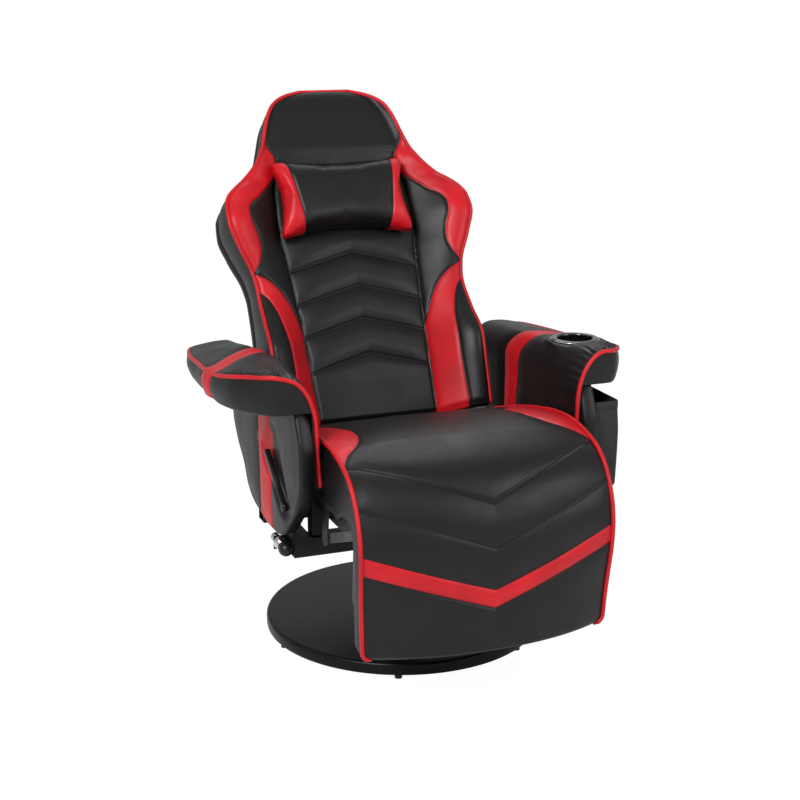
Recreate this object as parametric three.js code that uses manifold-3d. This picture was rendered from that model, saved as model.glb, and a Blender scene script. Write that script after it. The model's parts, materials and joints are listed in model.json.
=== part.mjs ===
// A gaming recliner: a padded seat and back on a round swivel base, with a leg rest that
// swings up on a crank linkage, a head pillow, padded arms, a cup holder and a side pouch.
// Millimetres, +Z up. The sitter faces -Y, and the sitter's left is +X.
import * as THREE from 'three';
import { mergeVertices } from 'three/addons/utils/BufferGeometryUtils.js';
import Module from 'manifold-3d';

const wasm = await Module();
wasm.setup();

// Clearances
const SEAT_GAP = 0.3;
const SOFT_GAP = 1.2;
const PIN_GAP = 0.3;
const LINK_GAP = 1;
const CUT_OVERRUN = 6;

// Where the swivel axis stands, behind the middle of the whole footprint
const SWIVEL_Y = -49.2;

// Round base
const BASE_RADIUS = 302;
const BASE_UNDERSIDE = 10;
const BASE_RIM_HEIGHT = 26;
const BASE_EDGE_ROUND = 7;
const BASE_DOME_RISE = 6;
const FOOT_COUNT = 6;
const FOOT_RADIUS = 8;
const FOOT_INSET = 14;
const FOOT_FIRST_ANGLE = THREE.MathUtils.degToRad(7.5);
const COLUMN_RADIUS = 36;
const COLUMN_WALL = 4;
const COLUMN_HEIGHT = 140;
const COLUMN_FLANGE_RADIUS = 92;
const COLUMN_FLANGE_THICKNESS = 6;
const COLUMN_HEAD_RADIUS = 60;
const TURNTABLE_PLATE_WIDTH = 184;
const TURNTABLE_PLATE_THICKNESS = 5;
const TURNTABLE_HOLE_RADIUS = 40;
const BEARING_OUTER_RADIUS = 80;
const BEARING_INNER_RADIUS = 62;
const BEARING_HEIGHT = 9;

// Steel frame under the seat
const FRAME_TUBE = 30;
const FRAME_TUBE_WALL = 2.5;
const BEAM_TUBE = 40;
const TURNTABLE_RAIL_SPREAD = 150;
const TURNTABLE_RAIL_LENGTH = 330;
const BEAM_FRONT_Y = -100;
const BEAM_REAR_Y = 130;
const BEAM_HALF_LENGTH = 284;
const PLATE = 4;
const RAIL_INNER_X = 240;
const RAIL_BOTTOM_Z = 352;
const RAIL_HEIGHT = 32;
const RAIL_FRONT_Y = -378;
const LINK_LAYER = 5;
const SEAT_BOARD_THICKNESS = 12;
const SEAT_BOARD_FRONT_Y = -372;
const SEAT_BOARD_REAR_Y = 138;
const SEAT_BOARD_NOTCH_Y = -350;

// Seat cushion
const SEAT_HALF_WIDTH = 261.5;
const SEAT_TOP_FRONT_Z = 515;
const SEAT_NOSE_RADIUS = 165;
const SEAT_NOSE_CENTRE_Y = -313;
const SEAT_REAR_Y = 118;
const SEAT_PITCH = THREE.MathUtils.degToRad(10.4);
const SEAT_FRONT_BULGE = 30;
const SEAT_CROWN = 9;
const SEAT_TOP_SWELL = 10;
const SEAT_TOP_BEND = 1.6;
const SEAT_SKIRT = 3;
const SEAT_APRON_BOTTOM_Z = 364;
const SEAT_APRON_CLEAR = 12;
const LINK_POCKET_TOP_Z = 462;
const LINK_POCKET_REAR_Y = -130;

// Leg rest and its linkage
const LEGREST_PIVOT_Y = -425;
const LEGREST_PIVOT_Z = 441;
const LEGREST_TILT = THREE.MathUtils.degToRad(4.9);
const LEGREST_FACE_AHEAD = 53.5;
const LEGREST_TOP_DROP = 95;
const LEGREST_BOTTOM_DROP = 298;
const LEGREST_HALF_WIDTH = 257;
const LEGREST_CORNER_RADIUS = 30;
const LEGREST_PAD_THICKNESS = 34;
const LEGREST_BULGE = 32;
const LEGREST_BOARD_THICKNESS = 12;
const LEGREST_BOARD_INSET = 8;
const LINK_PIN_RADIUS = 5;
const LINK_PIN_HEAD_RADIUS = 9;
const LINK_PIN_HEAD = 3;
const LINK_HALF_WIDTH = 10;
const EAR_RADIUS = 15;
const LEGREST_ARM_HALF_WIDTH = 11;
const LEGREST_ARM_FOOT_DROP = 205;
const LEGREST_FLANGE_WIDTH = 30;
const LEGREST_FLANGE_TOP_DROP = 112;
const CRANK_LENGTH = 60;
const CRANK_BACK = 3.5;
const DRIVE_SHAFT_Y = -235;
const DRIVE_SHAFT_Z = 368;
const SHAFT_RADIUS = 8;
const SHAFT_BOSS_RADIUS = 14;

// Back rest, in its own leaning frame: width across, height along the lean, depth behind the face
const BACK_LEAN = THREE.MathUtils.degToRad(28.8);
const BACK_FOOT_Y = 133;
const BACK_FOOT_Z = 434;
const BACK_HEIGHT = 802;
const BACK_WING_HALF_WIDTH = 291;
const BACK_BOLSTER_RISE = 80;
const BACK_PAD_DEPTH = 45;
const BACK_EDGE_ROUND = 20;
const BACK_CROWN = 4;
const BACK_CENTRE_HALF_WIDTH = 154;
const BACK_HEAD_START_SHARE = 0.773;
const BACK_BOARD_THICKNESS = 12;
const BACK_BOARD_HALF_WIDTH = 212;
const BACK_BOARD_FOOT = 12;
const BACK_BOARD_TOP_SHARE = 0.86;
const BACK_BOARD_TOP_HALF_WIDTH = 120;
const BACK_BOARD_SHOULDER_SHARE = 0.7;
const BACK_SHELL_DEPTH = 94;
const BACK_SHELL_WALL = 5;
const BACK_SHELL_TAPER = 12;
const RECLINE_DEPTH = 56;
const RECLINE_DROP = 40;
const RECLINE_BOSS_RADIUS = 19;
const RECLINE_BRACKET_X = 200;
const RECLINE_BRACKET_HEIGHT = 150;
const RECLINE_BRACKET_DEPTH = 24;

// Head pillow
const PILLOW_HALF_WIDTH = 148;
const PILLOW_OVERLAP = 2;
const PILLOW_HEIGHT = 186;
const PILLOW_THICKNESS = 66;
const PILLOW_EDGE = 16;
const PILLOW_EDGE_CROWN = 4;
const PILLOW_PINCH = 8;
const PILLOW_WRAP = 15;
const STRAP_HALF_LENGTH = 140;
const STRAP_HEIGHT = 50;
const STRAP_THICKNESS = 2;

// Arms
const ARM_PANEL_OUTER_X = 322;
const ARM_PANEL_INNER_X = 290;
const ARM_PANEL_FRONT_Y = -292;
const ARM_PANEL_REAR_Y = 215;
const ARM_PANEL_BOTTOM_Z = 290;
const ARM_PANEL_ROUND = 12;
const ARM_PAD_INNER_X = 281;
const ARM_PAD_OUTER_X = 441;
const ARM_PAD_FRONT_Y = -272;
const ARM_PAD_REAR_Y = 262;
const ARM_PAD_EDGE_Z = 654;
const ARM_PAD_PITCH = THREE.MathUtils.degToRad(4.9);
const ARM_PAD_UNDER_Z = 586;
const ARM_PAD_UNDER_PITCH = THREE.MathUtils.degToRad(2);
const ARM_PAD_CROWN = 8;
const ARM_PAD_ROUND = 16;
const ARM_CORNER_WIDTH = 64;
const ARM_CORNER_HEIGHT = 78;
const ARM_CORNER_REAR_WIDTH = 44;
const ARM_CORNER_REAR_HEIGHT = 52;
const ARM_CORNER_FRONT_SHARE = 0.24;
const ARM_LEG_INNER_X = 270;
const ARM_LEG_OUTER_X = 289.5;
const ARM_LEG_BOTTOM_Z = 432;
const ARM_BRACKET_TOP_Z = 408;
const ARM_BRACKET_HALF_LENGTH = 24;
const ARM_BRACKET_CLEAR = 3;
const CUP_X = 350;
const CUP_Y = -122;
const CUP_RADIUS = 38;
const CUP_WALL = 2;
const CUP_DEPTH = 54;
const CUP_RIM_TOP_Z = 651;
const CUP_RIM_RADIUS = 46;
const CUP_RIM_HEIGHT = 4;
const POUCH_DEPTH = 62;
const POUCH_FRONT_Y = -268;
const POUCH_REAR_Y = -40;
const POUCH_BOTTOM_Z = 356;
const POUCH_TOP_Z = 545;
const POUCH_WALL = 4;

// Release lever and lock knob, on the sitter's right
const LEVER_PIVOT_Y = -186;
const LEVER_PIVOT_Z = 372;
const LEVER_LENGTH = 142;
const LEVER_LEAN = THREE.MathUtils.degToRad(34);
const LEVER_HALF_WIDTH = 11;
const LEVER_ROOT_HALF_WIDTH = 6;
const LEVER_THICKNESS = 12;
const LEVER_SHAFT_RADIUS = 5;
const LEVER_RECESS_DEPTH = 7;
const LEVER_RECESS_MARGIN = 18;
const LEVER_RECESS_SPARE = THREE.MathUtils.degToRad(8);
const LEVER_THROW = THREE.MathUtils.degToRad(25);
const LEVER_STAND_OFF = 2;
const LOCK_RISE = 5.5;
const LOCK_PLATE_REACH = 317;
const LOCK_PLATE_HALF_HEIGHT = 14;
const LOCK_PLATE_SET_BACK = 18;
const LOCK_FLANGE_LENGTH = 34;
const LOCK_SLEEVE_X = 304;
const LOCK_SLEEVE_RADIUS = 13;
const LOCK_SLEEVE_LENGTH = 26;
const LOCK_STUD_RADIUS = 5;
const LOCK_STUD_LENGTH = 52;
const LOCK_KNOB_RADIUS = 15.5;

// Heights that follow from the sizes above
const FOOT_CIRCLE_RADIUS = BASE_RADIUS - FOOT_INSET;
const BASE_TOP_Z = BASE_UNDERSIDE + BASE_RIM_HEIGHT + BASE_DOME_RISE;
const COLUMN_FOOT_Z = BASE_TOP_Z + SEAT_GAP;
const LOWER_PLATE_Z = COLUMN_FOOT_Z + COLUMN_HEIGHT + SEAT_GAP;
const BEARING_Z = LOWER_PLATE_Z + TURNTABLE_PLATE_THICKNESS + SEAT_GAP;
const UPPER_PLATE_Z = BEARING_Z + BEARING_HEIGHT + SEAT_GAP;
const TURNTABLE_RAIL_Z = UPPER_PLATE_Z + TURNTABLE_PLATE_THICKNESS + SEAT_GAP;
const BEAM_Z = TURNTABLE_RAIL_Z + FRAME_TUBE + SEAT_GAP;
const BEAM_TOP_Z = BEAM_Z + BEAM_TUBE;
const RAIL_OUTER_X = RAIL_INNER_X + PLATE;
const RAIL_TOP_Z = RAIL_BOTTOM_Z + RAIL_HEIGHT;
const LINK_INNER_X = RAIL_OUTER_X + LINK_GAP;
const ARM_PLATE_INNER_X = RAIL_OUTER_X + LINK_LAYER + LINK_GAP;
const ARM_PLATE_OUTER_X = ARM_PLATE_INNER_X + PLATE;
const SEAT_BOARD_Z = RAIL_TOP_Z + SEAT_GAP;
const CUSHION_BOTTOM_Z = SEAT_BOARD_Z + SEAT_BOARD_THICKNESS + SEAT_GAP;
const CUP_SHOULDER_Z = CUP_RIM_TOP_Z - CUP_RIM_HEIGHT;
const ARM_BRACKET_SPAN = [BEAM_FRONT_Y - ARM_BRACKET_HALF_LENGTH, BEAM_REAR_Y + ARM_BRACKET_HALF_LENGTH];
const BACK_BOARD_FRONT = BACK_PAD_DEPTH + SEAT_GAP;
const BACK_BOARD_BACK = BACK_BOARD_FRONT + BACK_BOARD_THICKNESS;
const BACK_HEAD_START = BACK_HEAD_START_SHARE * BACK_HEIGHT;
const BACK_BOARD_TOP = BACK_BOARD_TOP_SHARE * BACK_HEIGHT;
const BACK_BOARD_SHOULDER = BACK_BOARD_SHOULDER_SHARE * BACK_HEIGHT;
const PILLOW_FOOT = BACK_HEAD_START + PILLOW_OVERLAP - PILLOW_HEIGHT;

// Colours and finishes
const paint = (color, roughness, metalness = 0) => ({ color, roughness, metalness });
const FINISH = {
  blackLeather: paint(0x242427, 0.45),
  redLeather: paint(0xd0202c, 0.45),
  blackSteel: paint(0x141416, 0.4, 0.6),
  brightSteel: paint(0xb8babd, 0.25, 1),
  chrome: paint(0xd8d8da, 0.12, 1),
  plywood: paint(0xb08a58, 0.7),
  blackPlastic: paint(0x101011, 0.35),
  blackVinyl: paint(0x1b1b1d, 0.55),
  rubber: paint(0x0c0c0c, 0.85),
};

const model = new THREE.Group();
const chair = new THREE.Group();
chair.position.y = SWIVEL_Y;
model.add(chair);

function addPiece(parent, name, geometry, finish) {
  const mesh = new THREE.Mesh(geometry, new THREE.MeshStandardMaterial(finish));
  mesh.name = name;
  parent.add(mesh);
  return mesh;
}

// Solids for joining and cutting
function toSolid(geometry) {
  const bare = new THREE.BufferGeometry();
  bare.setAttribute('position', geometry.getAttribute('position').clone());
  if (geometry.index) bare.setIndex(geometry.index.clone());
  const merged = mergeVertices(bare, SEAT_GAP / 100);
  return new wasm.Manifold(new wasm.Mesh({
    numProp: 3,
    vertProperties: new Float32Array(merged.getAttribute('position').array),
    triVerts: new Uint32Array(merged.index.array),
  }));
}

function toGeometry(solid) {
  const mesh = solid.getMesh();
  const geometry = new THREE.BufferGeometry();
  geometry.setAttribute('position', new THREE.BufferAttribute(new Float32Array(mesh.vertProperties), 3));
  geometry.setIndex(Array.from(mesh.triVerts));
  geometry.computeVertexNormals();
  return geometry;
}

const join = (first, ...others) =>
  toGeometry(others.reduce((solid, other) => solid.add(toSolid(other)), toSolid(first)));
const cut = (first, ...others) =>
  toGeometry(others.reduce((solid, other) => solid.subtract(toSolid(other)), toSolid(first)));

// Basic shapes
function boxBetween(low, high) {
  const geometry = new THREE.BoxGeometry(high[0] - low[0], high[1] - low[1], high[2] - low[2]);
  return geometry.translate((low[0] + high[0]) / 2, (low[1] + high[1]) / 2, (low[2] + high[2]) / 2);
}

// The same block on either side of the middle plane, from its near side to its far side
function slab(sign, near, far, spanY, spanZ) {
  const [lowX, highX] = [sign * near, sign * far].sort((first, second) => first - second);
  return boxBetween([lowX, spanY[0], spanZ[0]], [highX, spanY[1], spanZ[1]]);
}

// A flat outline in the side view (y, z) given thickness from one x to another
function sidePlate(shape, fromX, toX, curveSegments = 8) {
  const [lowX, highX] = [Math.min(fromX, toX), Math.max(fromX, toX)];
  const geometry = new THREE.ExtrudeGeometry(shape, {
    depth: highX - lowX, bevelEnabled: false, curveSegments,
  });
  return geometry.applyMatrix4(new THREE.Matrix4().set(
    0, 0, 1, lowX,
    1, 0, 0, 0,
    0, 1, 0, 0,
    0, 0, 0, 1,
  ));
}

// A round bar along x, as the sequence of [x, radius] steps of its outline
function barAlongX(steps, y, z, segments = 16) {
  const points = [new THREE.Vector2(0, steps[0][0])];
  steps.forEach(([x, radius]) => points.push(new THREE.Vector2(radius, x)));
  points.push(new THREE.Vector2(0, steps[steps.length - 1][0]));
  const geometry = new THREE.LatheGeometry(points, segments);
  return geometry.rotateZ(-Math.PI / 2).translate(0, y, z);
}

const rodAlongX = (fromX, toX, radius, y, z, segments) =>
  barAlongX([[Math.min(fromX, toX), radius], [Math.max(fromX, toX), radius]], y, z, segments);

// A ring shape whose profile [radius, height] closes on itself, turned about z
function ringAboutZ(profile, segments = 32) {
  const points = profile.map(([radius, height]) => new THREE.Vector2(radius, height));
  points.push(points[0].clone());
  return new THREE.LatheGeometry(points, segments).rotateX(Math.PI / 2);
}

function rectangleShape(width, height) {
  const shape = new THREE.Shape();
  shape.moveTo(-width / 2, -height / 2);
  shape.lineTo(width / 2, -height / 2);
  shape.lineTo(width / 2, height / 2);
  shape.lineTo(-width / 2, height / 2);
  shape.closePath();
  return shape;
}

function circlePath(radius, x = 0, y = 0) {
  const path = new THREE.Path();
  path.absarc(x, y, radius, 0, 2 * Math.PI, true);
  return path;
}

// A square steel tube along z, open at both ends
function squareTube(width, wall, length) {
  const shape = rectangleShape(width, width);
  shape.holes.push(rectangleShape(width - 2 * wall, width - 2 * wall));
  return new THREE.ExtrudeGeometry(shape, { depth: length, bevelEnabled: false });
}

// A flat link with round ends, in the side view
function linkShape(from, to, radius, holeRadii = []) {
  const direction = Math.atan2(to[1] - from[1], to[0] - from[0]);
  const shape = new THREE.Shape();
  shape.absarc(to[0], to[1], radius, direction - Math.PI / 2, direction + Math.PI / 2, false);
  shape.absarc(from[0], from[1], radius, direction + Math.PI / 2, direction + 3 * Math.PI / 2, false);
  shape.closePath();
  [from, to].forEach((centre, end) => {
    if (holeRadii[end]) shape.holes.push(circlePath(holeRadii[end], centre[0], centre[1]));
  });
  return shape;
}

function polygonShape(points) {
  const shape = new THREE.Shape();
  points.forEach(([u, v], index) => (index ? shape.lineTo(u, v) : shape.moveTo(u, v)));
  shape.closePath();
  return shape;
}

// A closed skin through a list of rings with the same number of points, capped at both ends
function loft(rings) {
  const count = rings[0].length;
  const positions = rings.flat().flatMap((point) => point);
  const triangles = [];
  for (let ring = 0; ring < rings.length - 1; ring += 1) {
    for (let step = 0; step < count; step += 1) {
      const next = (step + 1) % count;
      const a = ring * count + step;
      const b = ring * count + next;
      const c = (ring + 1) * count + next;
      const d = (ring + 1) * count + step;
      triangles.push(a, b, c, a, c, d);
    }
  }
  for (const ring of [0, rings.length - 1]) {
    const points = rings[ring];
    const flatAxis = [0, 1, 2].find((axis) => points.every((point) => point[axis] === points[0][axis]));
    const flat = points.map((point) => new THREE.Vector2(...point.filter((value, axis) => axis !== flatAxis)));
    THREE.ShapeUtils.triangulateShape(flat, []).forEach((face) => {
      const climbs = face.filter((corner, place) => corner < face[(place + 1) % face.length]).length;
      const rising = climbs === face.length - 1;
      const corners = face.map((corner) => ring * count + corner);
      triangles.push(...(rising === ring > 0 ? corners : corners.reverse()));
    });
  }
  const geometry = new THREE.BufferGeometry();
  geometry.setAttribute('position', new THREE.Float32BufferAttribute(positions, 3));
  geometry.setIndex(triangles);
  return outward(geometry);
}

// Turns a closed skin the right way round if its volume comes out negative
function outward(geometry) {
  const position = geometry.getAttribute('position');
  const index = geometry.index.array;
  const [a, b, c] = [new THREE.Vector3(), new THREE.Vector3(), new THREE.Vector3()];
  let volume = 0;
  for (let face = 0; face < index.length; face += 3) {
    a.fromBufferAttribute(position, index[face]);
    b.fromBufferAttribute(position, index[face + 1]);
    c.fromBufferAttribute(position, index[face + 2]);
    volume += a.dot(b.cross(c));
  }
  if (volume < 0) {
    for (let face = 0; face < index.length; face += 3) {
      [index[face + 1], index[face + 2]] = [index[face + 2], index[face + 1]];
    }
  }
  geometry.computeVertexNormals();
  return geometry;
}

// Steps from -1 to 1, closer together near the ends
const easedSteps = (count) =>
  Array.from({ length: count + 1 }, (_, step) => -Math.cos((Math.PI * step) / count));

const SIDES = [
  { sign: -1, name: 'right' },
  { sign: 1, name: 'left' },
];

// Round base, column and turntable bearing
function buildBase() {
  const base = new THREE.Group();
  const rim = BASE_RADIUS;
  const discProfile = [
    [0, BASE_UNDERSIDE],
    [rim - BASE_EDGE_ROUND, BASE_UNDERSIDE],
    [rim, BASE_UNDERSIDE + BASE_EDGE_ROUND],
    [rim, BASE_UNDERSIDE + BASE_RIM_HEIGHT - BASE_EDGE_ROUND],
    [rim - BASE_EDGE_ROUND / 3, BASE_UNDERSIDE + BASE_RIM_HEIGHT - BASE_EDGE_ROUND / 3],
    [rim - BASE_EDGE_ROUND, BASE_UNDERSIDE + BASE_RIM_HEIGHT],
    [COLUMN_FLANGE_RADIUS + BASE_EDGE_ROUND, BASE_TOP_Z],
    [0, BASE_TOP_Z],
  ];
  const disc = new THREE.LatheGeometry(discProfile.map(([r, z]) => new THREE.Vector2(r, z)), 48);
  addPiece(base, 'base_disc', disc.rotateX(Math.PI / 2), FINISH.blackPlastic);

  for (let index = 0; index < FOOT_COUNT; index += 1) {
    const height = BASE_UNDERSIDE - SEAT_GAP;
    const foot = new THREE.CylinderGeometry(FOOT_RADIUS, FOOT_RADIUS, height, 14).rotateX(Math.PI / 2);
    const angle = FOOT_FIRST_ANGLE + (index * 2 * Math.PI) / FOOT_COUNT;
    const mesh = addPiece(base, `base_foot_${index + 1}`, foot, FINISH.rubber);
    mesh.position.set(FOOT_CIRCLE_RADIUS * Math.cos(angle), FOOT_CIRCLE_RADIUS * Math.sin(angle), height / 2);
  }

  const inner = COLUMN_RADIUS - COLUMN_WALL;
  const column = ringAboutZ([
    [inner, 0],
    [COLUMN_FLANGE_RADIUS, 0],
    [COLUMN_FLANGE_RADIUS, COLUMN_FLANGE_THICKNESS],
    [COLUMN_RADIUS + COLUMN_FLANGE_THICKNESS, COLUMN_FLANGE_THICKNESS],
    [COLUMN_RADIUS, 2 * COLUMN_FLANGE_THICKNESS],
    [COLUMN_RADIUS, COLUMN_HEIGHT - COLUMN_FLANGE_THICKNESS],
    [COLUMN_HEAD_RADIUS, COLUMN_HEIGHT - COLUMN_FLANGE_THICKNESS],
    [COLUMN_HEAD_RADIUS, COLUMN_HEIGHT],
    [inner, COLUMN_HEIGHT],
  ], 28);
  addPiece(base, 'pedestal_column', column, FINISH.blackSteel).position.z = COLUMN_FOOT_Z;

  addPiece(base, 'lower_turntable_plate', turntablePlate(), FINISH.blackSteel).position.z = LOWER_PLATE_Z;
  const ring = ringAboutZ([
    [BEARING_INNER_RADIUS, 0],
    [BEARING_OUTER_RADIUS, 0],
    [BEARING_OUTER_RADIUS, BEARING_HEIGHT],
    [BEARING_INNER_RADIUS, BEARING_HEIGHT],
  ]);
  addPiece(base, 'turntable_bearing', ring, FINISH.brightSteel).position.z = BEARING_Z;
  return base;
}

function turntablePlate() {
  const shape = rectangleShape(TURNTABLE_PLATE_WIDTH, TURNTABLE_PLATE_WIDTH);
  shape.holes.push(circlePath(TURNTABLE_HOLE_RADIUS));
  return new THREE.ExtrudeGeometry(shape, {
    depth: TURNTABLE_PLATE_THICKNESS, bevelEnabled: false, curveSegments: 12,
  });
}

// Steel frame that turns with the seat
const pivot = [LEGREST_PIVOT_Y, LEGREST_PIVOT_Z];
const shaft = [DRIVE_SHAFT_Y, DRIVE_SHAFT_Z];
const reclineAxis = [
  BACK_FOOT_Y - RECLINE_DROP * Math.sin(BACK_LEAN) + RECLINE_DEPTH * Math.cos(BACK_LEAN),
  BACK_FOOT_Z - RECLINE_DROP * Math.cos(BACK_LEAN) - RECLINE_DEPTH * Math.sin(BACK_LEAN),
];
const crankOffset = [
  CRANK_BACK * Math.cos(LEGREST_TILT) + CRANK_LENGTH * Math.sin(LEGREST_TILT),
  CRANK_BACK * Math.sin(LEGREST_TILT) - CRANK_LENGTH * Math.cos(LEGREST_TILT),
];
const crankEnd = [shaft[0] + crankOffset[0], shaft[1] + crankOffset[1]];
const armPinPlace = [pivot[0] + crankOffset[0], pivot[1] + crankOffset[1]];

function buildFrame() {
  const frame = new THREE.Group();
  addPiece(frame, 'upper_turntable_plate', turntablePlate(), FINISH.blackSteel).position.z = UPPER_PLATE_Z;

  for (const { sign, name } of SIDES) {
    const rail = squareTube(FRAME_TUBE, FRAME_TUBE_WALL, TURNTABLE_RAIL_LENGTH).rotateX(-Math.PI / 2);
    const mesh = addPiece(frame, `turntable_rail_${name}`, rail, FINISH.blackSteel);
    const middleY = (BEAM_FRONT_Y + BEAM_REAR_Y) / 2;
    mesh.position.set(
      (sign * TURNTABLE_RAIL_SPREAD) / 2,
      middleY - TURNTABLE_RAIL_LENGTH / 2,
      TURNTABLE_RAIL_Z + FRAME_TUBE / 2,
    );
  }

  for (const [place, beamY] of [['front', BEAM_FRONT_Y], ['rear', BEAM_REAR_Y]]) {
    const beam = squareTube(BEAM_TUBE, FRAME_TUBE_WALL, 2 * BEAM_HALF_LENGTH).rotateY(Math.PI / 2);
    const mesh = addPiece(frame, `${place}_beam`, beam, FINISH.blackSteel);
    mesh.position.set(-BEAM_HALF_LENGTH, beamY, BEAM_Z + BEAM_TUBE / 2);
    for (const { sign, name } of SIDES) {
      const height = RAIL_BOTTOM_Z - BEAM_TOP_Z - 2 * SEAT_GAP;
      const post = squareTube(FRAME_TUBE, FRAME_TUBE_WALL, height);
      const postMesh = addPiece(frame, `${place}_post_${name}`, post, FINISH.blackSteel);
      postMesh.position.set(sign * (RAIL_OUTER_X - FRAME_TUBE / 2), beamY, BEAM_TOP_Z + SEAT_GAP);
    }
  }

  for (const { sign, name } of SIDES) {
    addPiece(frame, `seat_rail_${name}`, seatRail(sign), FINISH.blackSteel);
    const panelSide = ARM_PANEL_INNER_X - SEAT_GAP;
    const bracket = join(
      slab(sign, RAIL_OUTER_X + ARM_BRACKET_CLEAR, panelSide, ARM_BRACKET_SPAN,
        [BEAM_TOP_Z + SEAT_GAP, BEAM_TOP_Z + SEAT_GAP + PLATE]),
      slab(sign, panelSide - PLATE, panelSide, ARM_BRACKET_SPAN, [BEAM_TOP_Z + SEAT_GAP, ARM_BRACKET_TOP_Z]),
    );
    addPiece(frame, `arm_bracket_${name}`, bracket, FINISH.blackSteel);
    addPiece(frame, `legrest_pin_${name}`, legrestPin(sign), FINISH.brightSteel);
  }

  const notchX = RAIL_INNER_X - SEAT_GAP;
  const board = new THREE.ExtrudeGeometry(polygonShape([
    [-notchX, SEAT_BOARD_FRONT_Y],
    [notchX, SEAT_BOARD_FRONT_Y],
    [notchX, SEAT_BOARD_NOTCH_Y],
    [RAIL_OUTER_X, SEAT_BOARD_NOTCH_Y],
    [RAIL_OUTER_X, SEAT_BOARD_REAR_Y],
    [-RAIL_OUTER_X, SEAT_BOARD_REAR_Y],
    [-RAIL_OUTER_X, SEAT_BOARD_NOTCH_Y],
    [-notchX, SEAT_BOARD_NOTCH_Y],
  ]), { depth: SEAT_BOARD_THICKNESS, bevelEnabled: false }).translate(0, 0, SEAT_BOARD_Z);
  addPiece(frame, 'seat_board', board, FINISH.plywood);
  const reclineShaft = rodAlongX(-RAIL_OUTER_X, RAIL_OUTER_X, SHAFT_RADIUS, reclineAxis[0], reclineAxis[1]);
  addPiece(frame, 'recline_shaft', reclineShaft, FINISH.brightSteel);
  return frame;
}

// Side rail with the hinge boss of the back at its rear and the leg rest's ear at its front
function seatRail(sign) {
  const [inner, outer] = [sign * RAIL_INNER_X, sign * RAIL_OUTER_X];
  const bar = sidePlate(polygonShape([
    [RAIL_FRONT_Y, RAIL_BOTTOM_Z],
    [reclineAxis[0], RAIL_BOTTOM_Z],
    [reclineAxis[0], RAIL_TOP_Z],
    [RAIL_FRONT_Y, RAIL_TOP_Z],
  ]), inner, outer);
  const ear = sidePlate(
    linkShape([RAIL_FRONT_Y + EAR_RADIUS, RAIL_BOTTOM_Z + EAR_RADIUS], pivot, EAR_RADIUS),
    inner,
    outer,
  );
  const boss = rodAlongX(inner, outer, RECLINE_BOSS_RADIUS, reclineAxis[0], reclineAxis[1], 24);
  const solid = join(bar, ear, boss);
  const [low, high] = [Math.min(inner, outer) - CUT_OVERRUN, Math.max(inner, outer) + CUT_OVERRUN];
  return cut(
    solid,
    rodAlongX(low, high, LINK_PIN_RADIUS + PIN_GAP, pivot[0], pivot[1]),
    rodAlongX(low, high, SHAFT_RADIUS + PIN_GAP, shaft[0], shaft[1]),
    rodAlongX(low, high, SHAFT_RADIUS + PIN_GAP, reclineAxis[0], reclineAxis[1]),
  );
}

// Pin through the ear, the spacer and the leg rest's arm
function legrestPin(sign) {
  const steps = [
    [RAIL_INNER_X + SEAT_GAP, LINK_PIN_RADIUS],
    [RAIL_OUTER_X + SEAT_GAP, LINK_PIN_RADIUS],
    [RAIL_OUTER_X + SEAT_GAP, LINK_PIN_HEAD_RADIUS],
    [ARM_PLATE_INNER_X - SEAT_GAP, LINK_PIN_HEAD_RADIUS],
    [ARM_PLATE_INNER_X - SEAT_GAP, LINK_PIN_RADIUS],
    [ARM_PLATE_OUTER_X + SEAT_GAP, LINK_PIN_RADIUS],
    [ARM_PLATE_OUTER_X + SEAT_GAP, LINK_PIN_HEAD_RADIUS],
    [ARM_PLATE_OUTER_X + SEAT_GAP + LINK_PIN_HEAD, LINK_PIN_HEAD_RADIUS],
  ];
  const ordered = sign > 0 ? steps : steps.map(([x, radius]) => [-x, radius]).reverse();
  return barAlongX(ordered, pivot[0], pivot[1]);
}

// Seat cushion: a side profile with a round nose and a swelling top, crowned and bulging towards the middle
function seatProfile(x) {
  const share = 1 - (x / SEAT_HALF_WIDTH) ** 2;
  const forward = SEAT_FRONT_BULGE * share;
  const crown = SEAT_CROWN * share;
  const centreZ = SEAT_TOP_FRONT_Z - SEAT_NOSE_RADIUS;
  const points = [];
  const lowestAngle = Math.acos((SEAT_APRON_BOTTOM_Z - centreZ) / SEAT_NOSE_RADIUS);
  const noseSteps = 10;
  for (let step = 0; step <= noseSteps; step += 1) {
    const round = step / noseSteps;
    const angle = lowestAngle * (1 - round);
    points.push([
      SEAT_NOSE_CENTRE_Y - SEAT_NOSE_RADIUS * Math.sin(angle) - forward,
      centreZ + SEAT_NOSE_RADIUS * Math.cos(angle) + crown * round,
    ]);
  }
  const noseY = SEAT_NOSE_CENTRE_Y - forward;
  const fall = (SEAT_REAR_Y - SEAT_NOSE_CENTRE_Y) * Math.tan(SEAT_PITCH);
  const topSteps = 8;
  for (let step = 1; step <= topSteps; step += 1) {
    const along = step / topSteps;
    const swell = SEAT_TOP_SWELL * Math.sin(Math.PI * along);
    points.push([
      noseY + (SEAT_REAR_Y - noseY) * along,
      SEAT_TOP_FRONT_Z - fall * along ** SEAT_TOP_BEND + swell + crown * (1 - along ** 2),
    ]);
  }
  points.push([SEAT_REAR_Y, CUSHION_BOTTOM_Z]);
  points.push([SEAT_BOARD_FRONT_Y - SEAT_APRON_CLEAR, CUSHION_BOTTOM_Z]);
  points.push([SEAT_BOARD_FRONT_Y - SEAT_APRON_CLEAR, SEAT_APRON_BOTTOM_Z]);
  return points;
}

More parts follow.
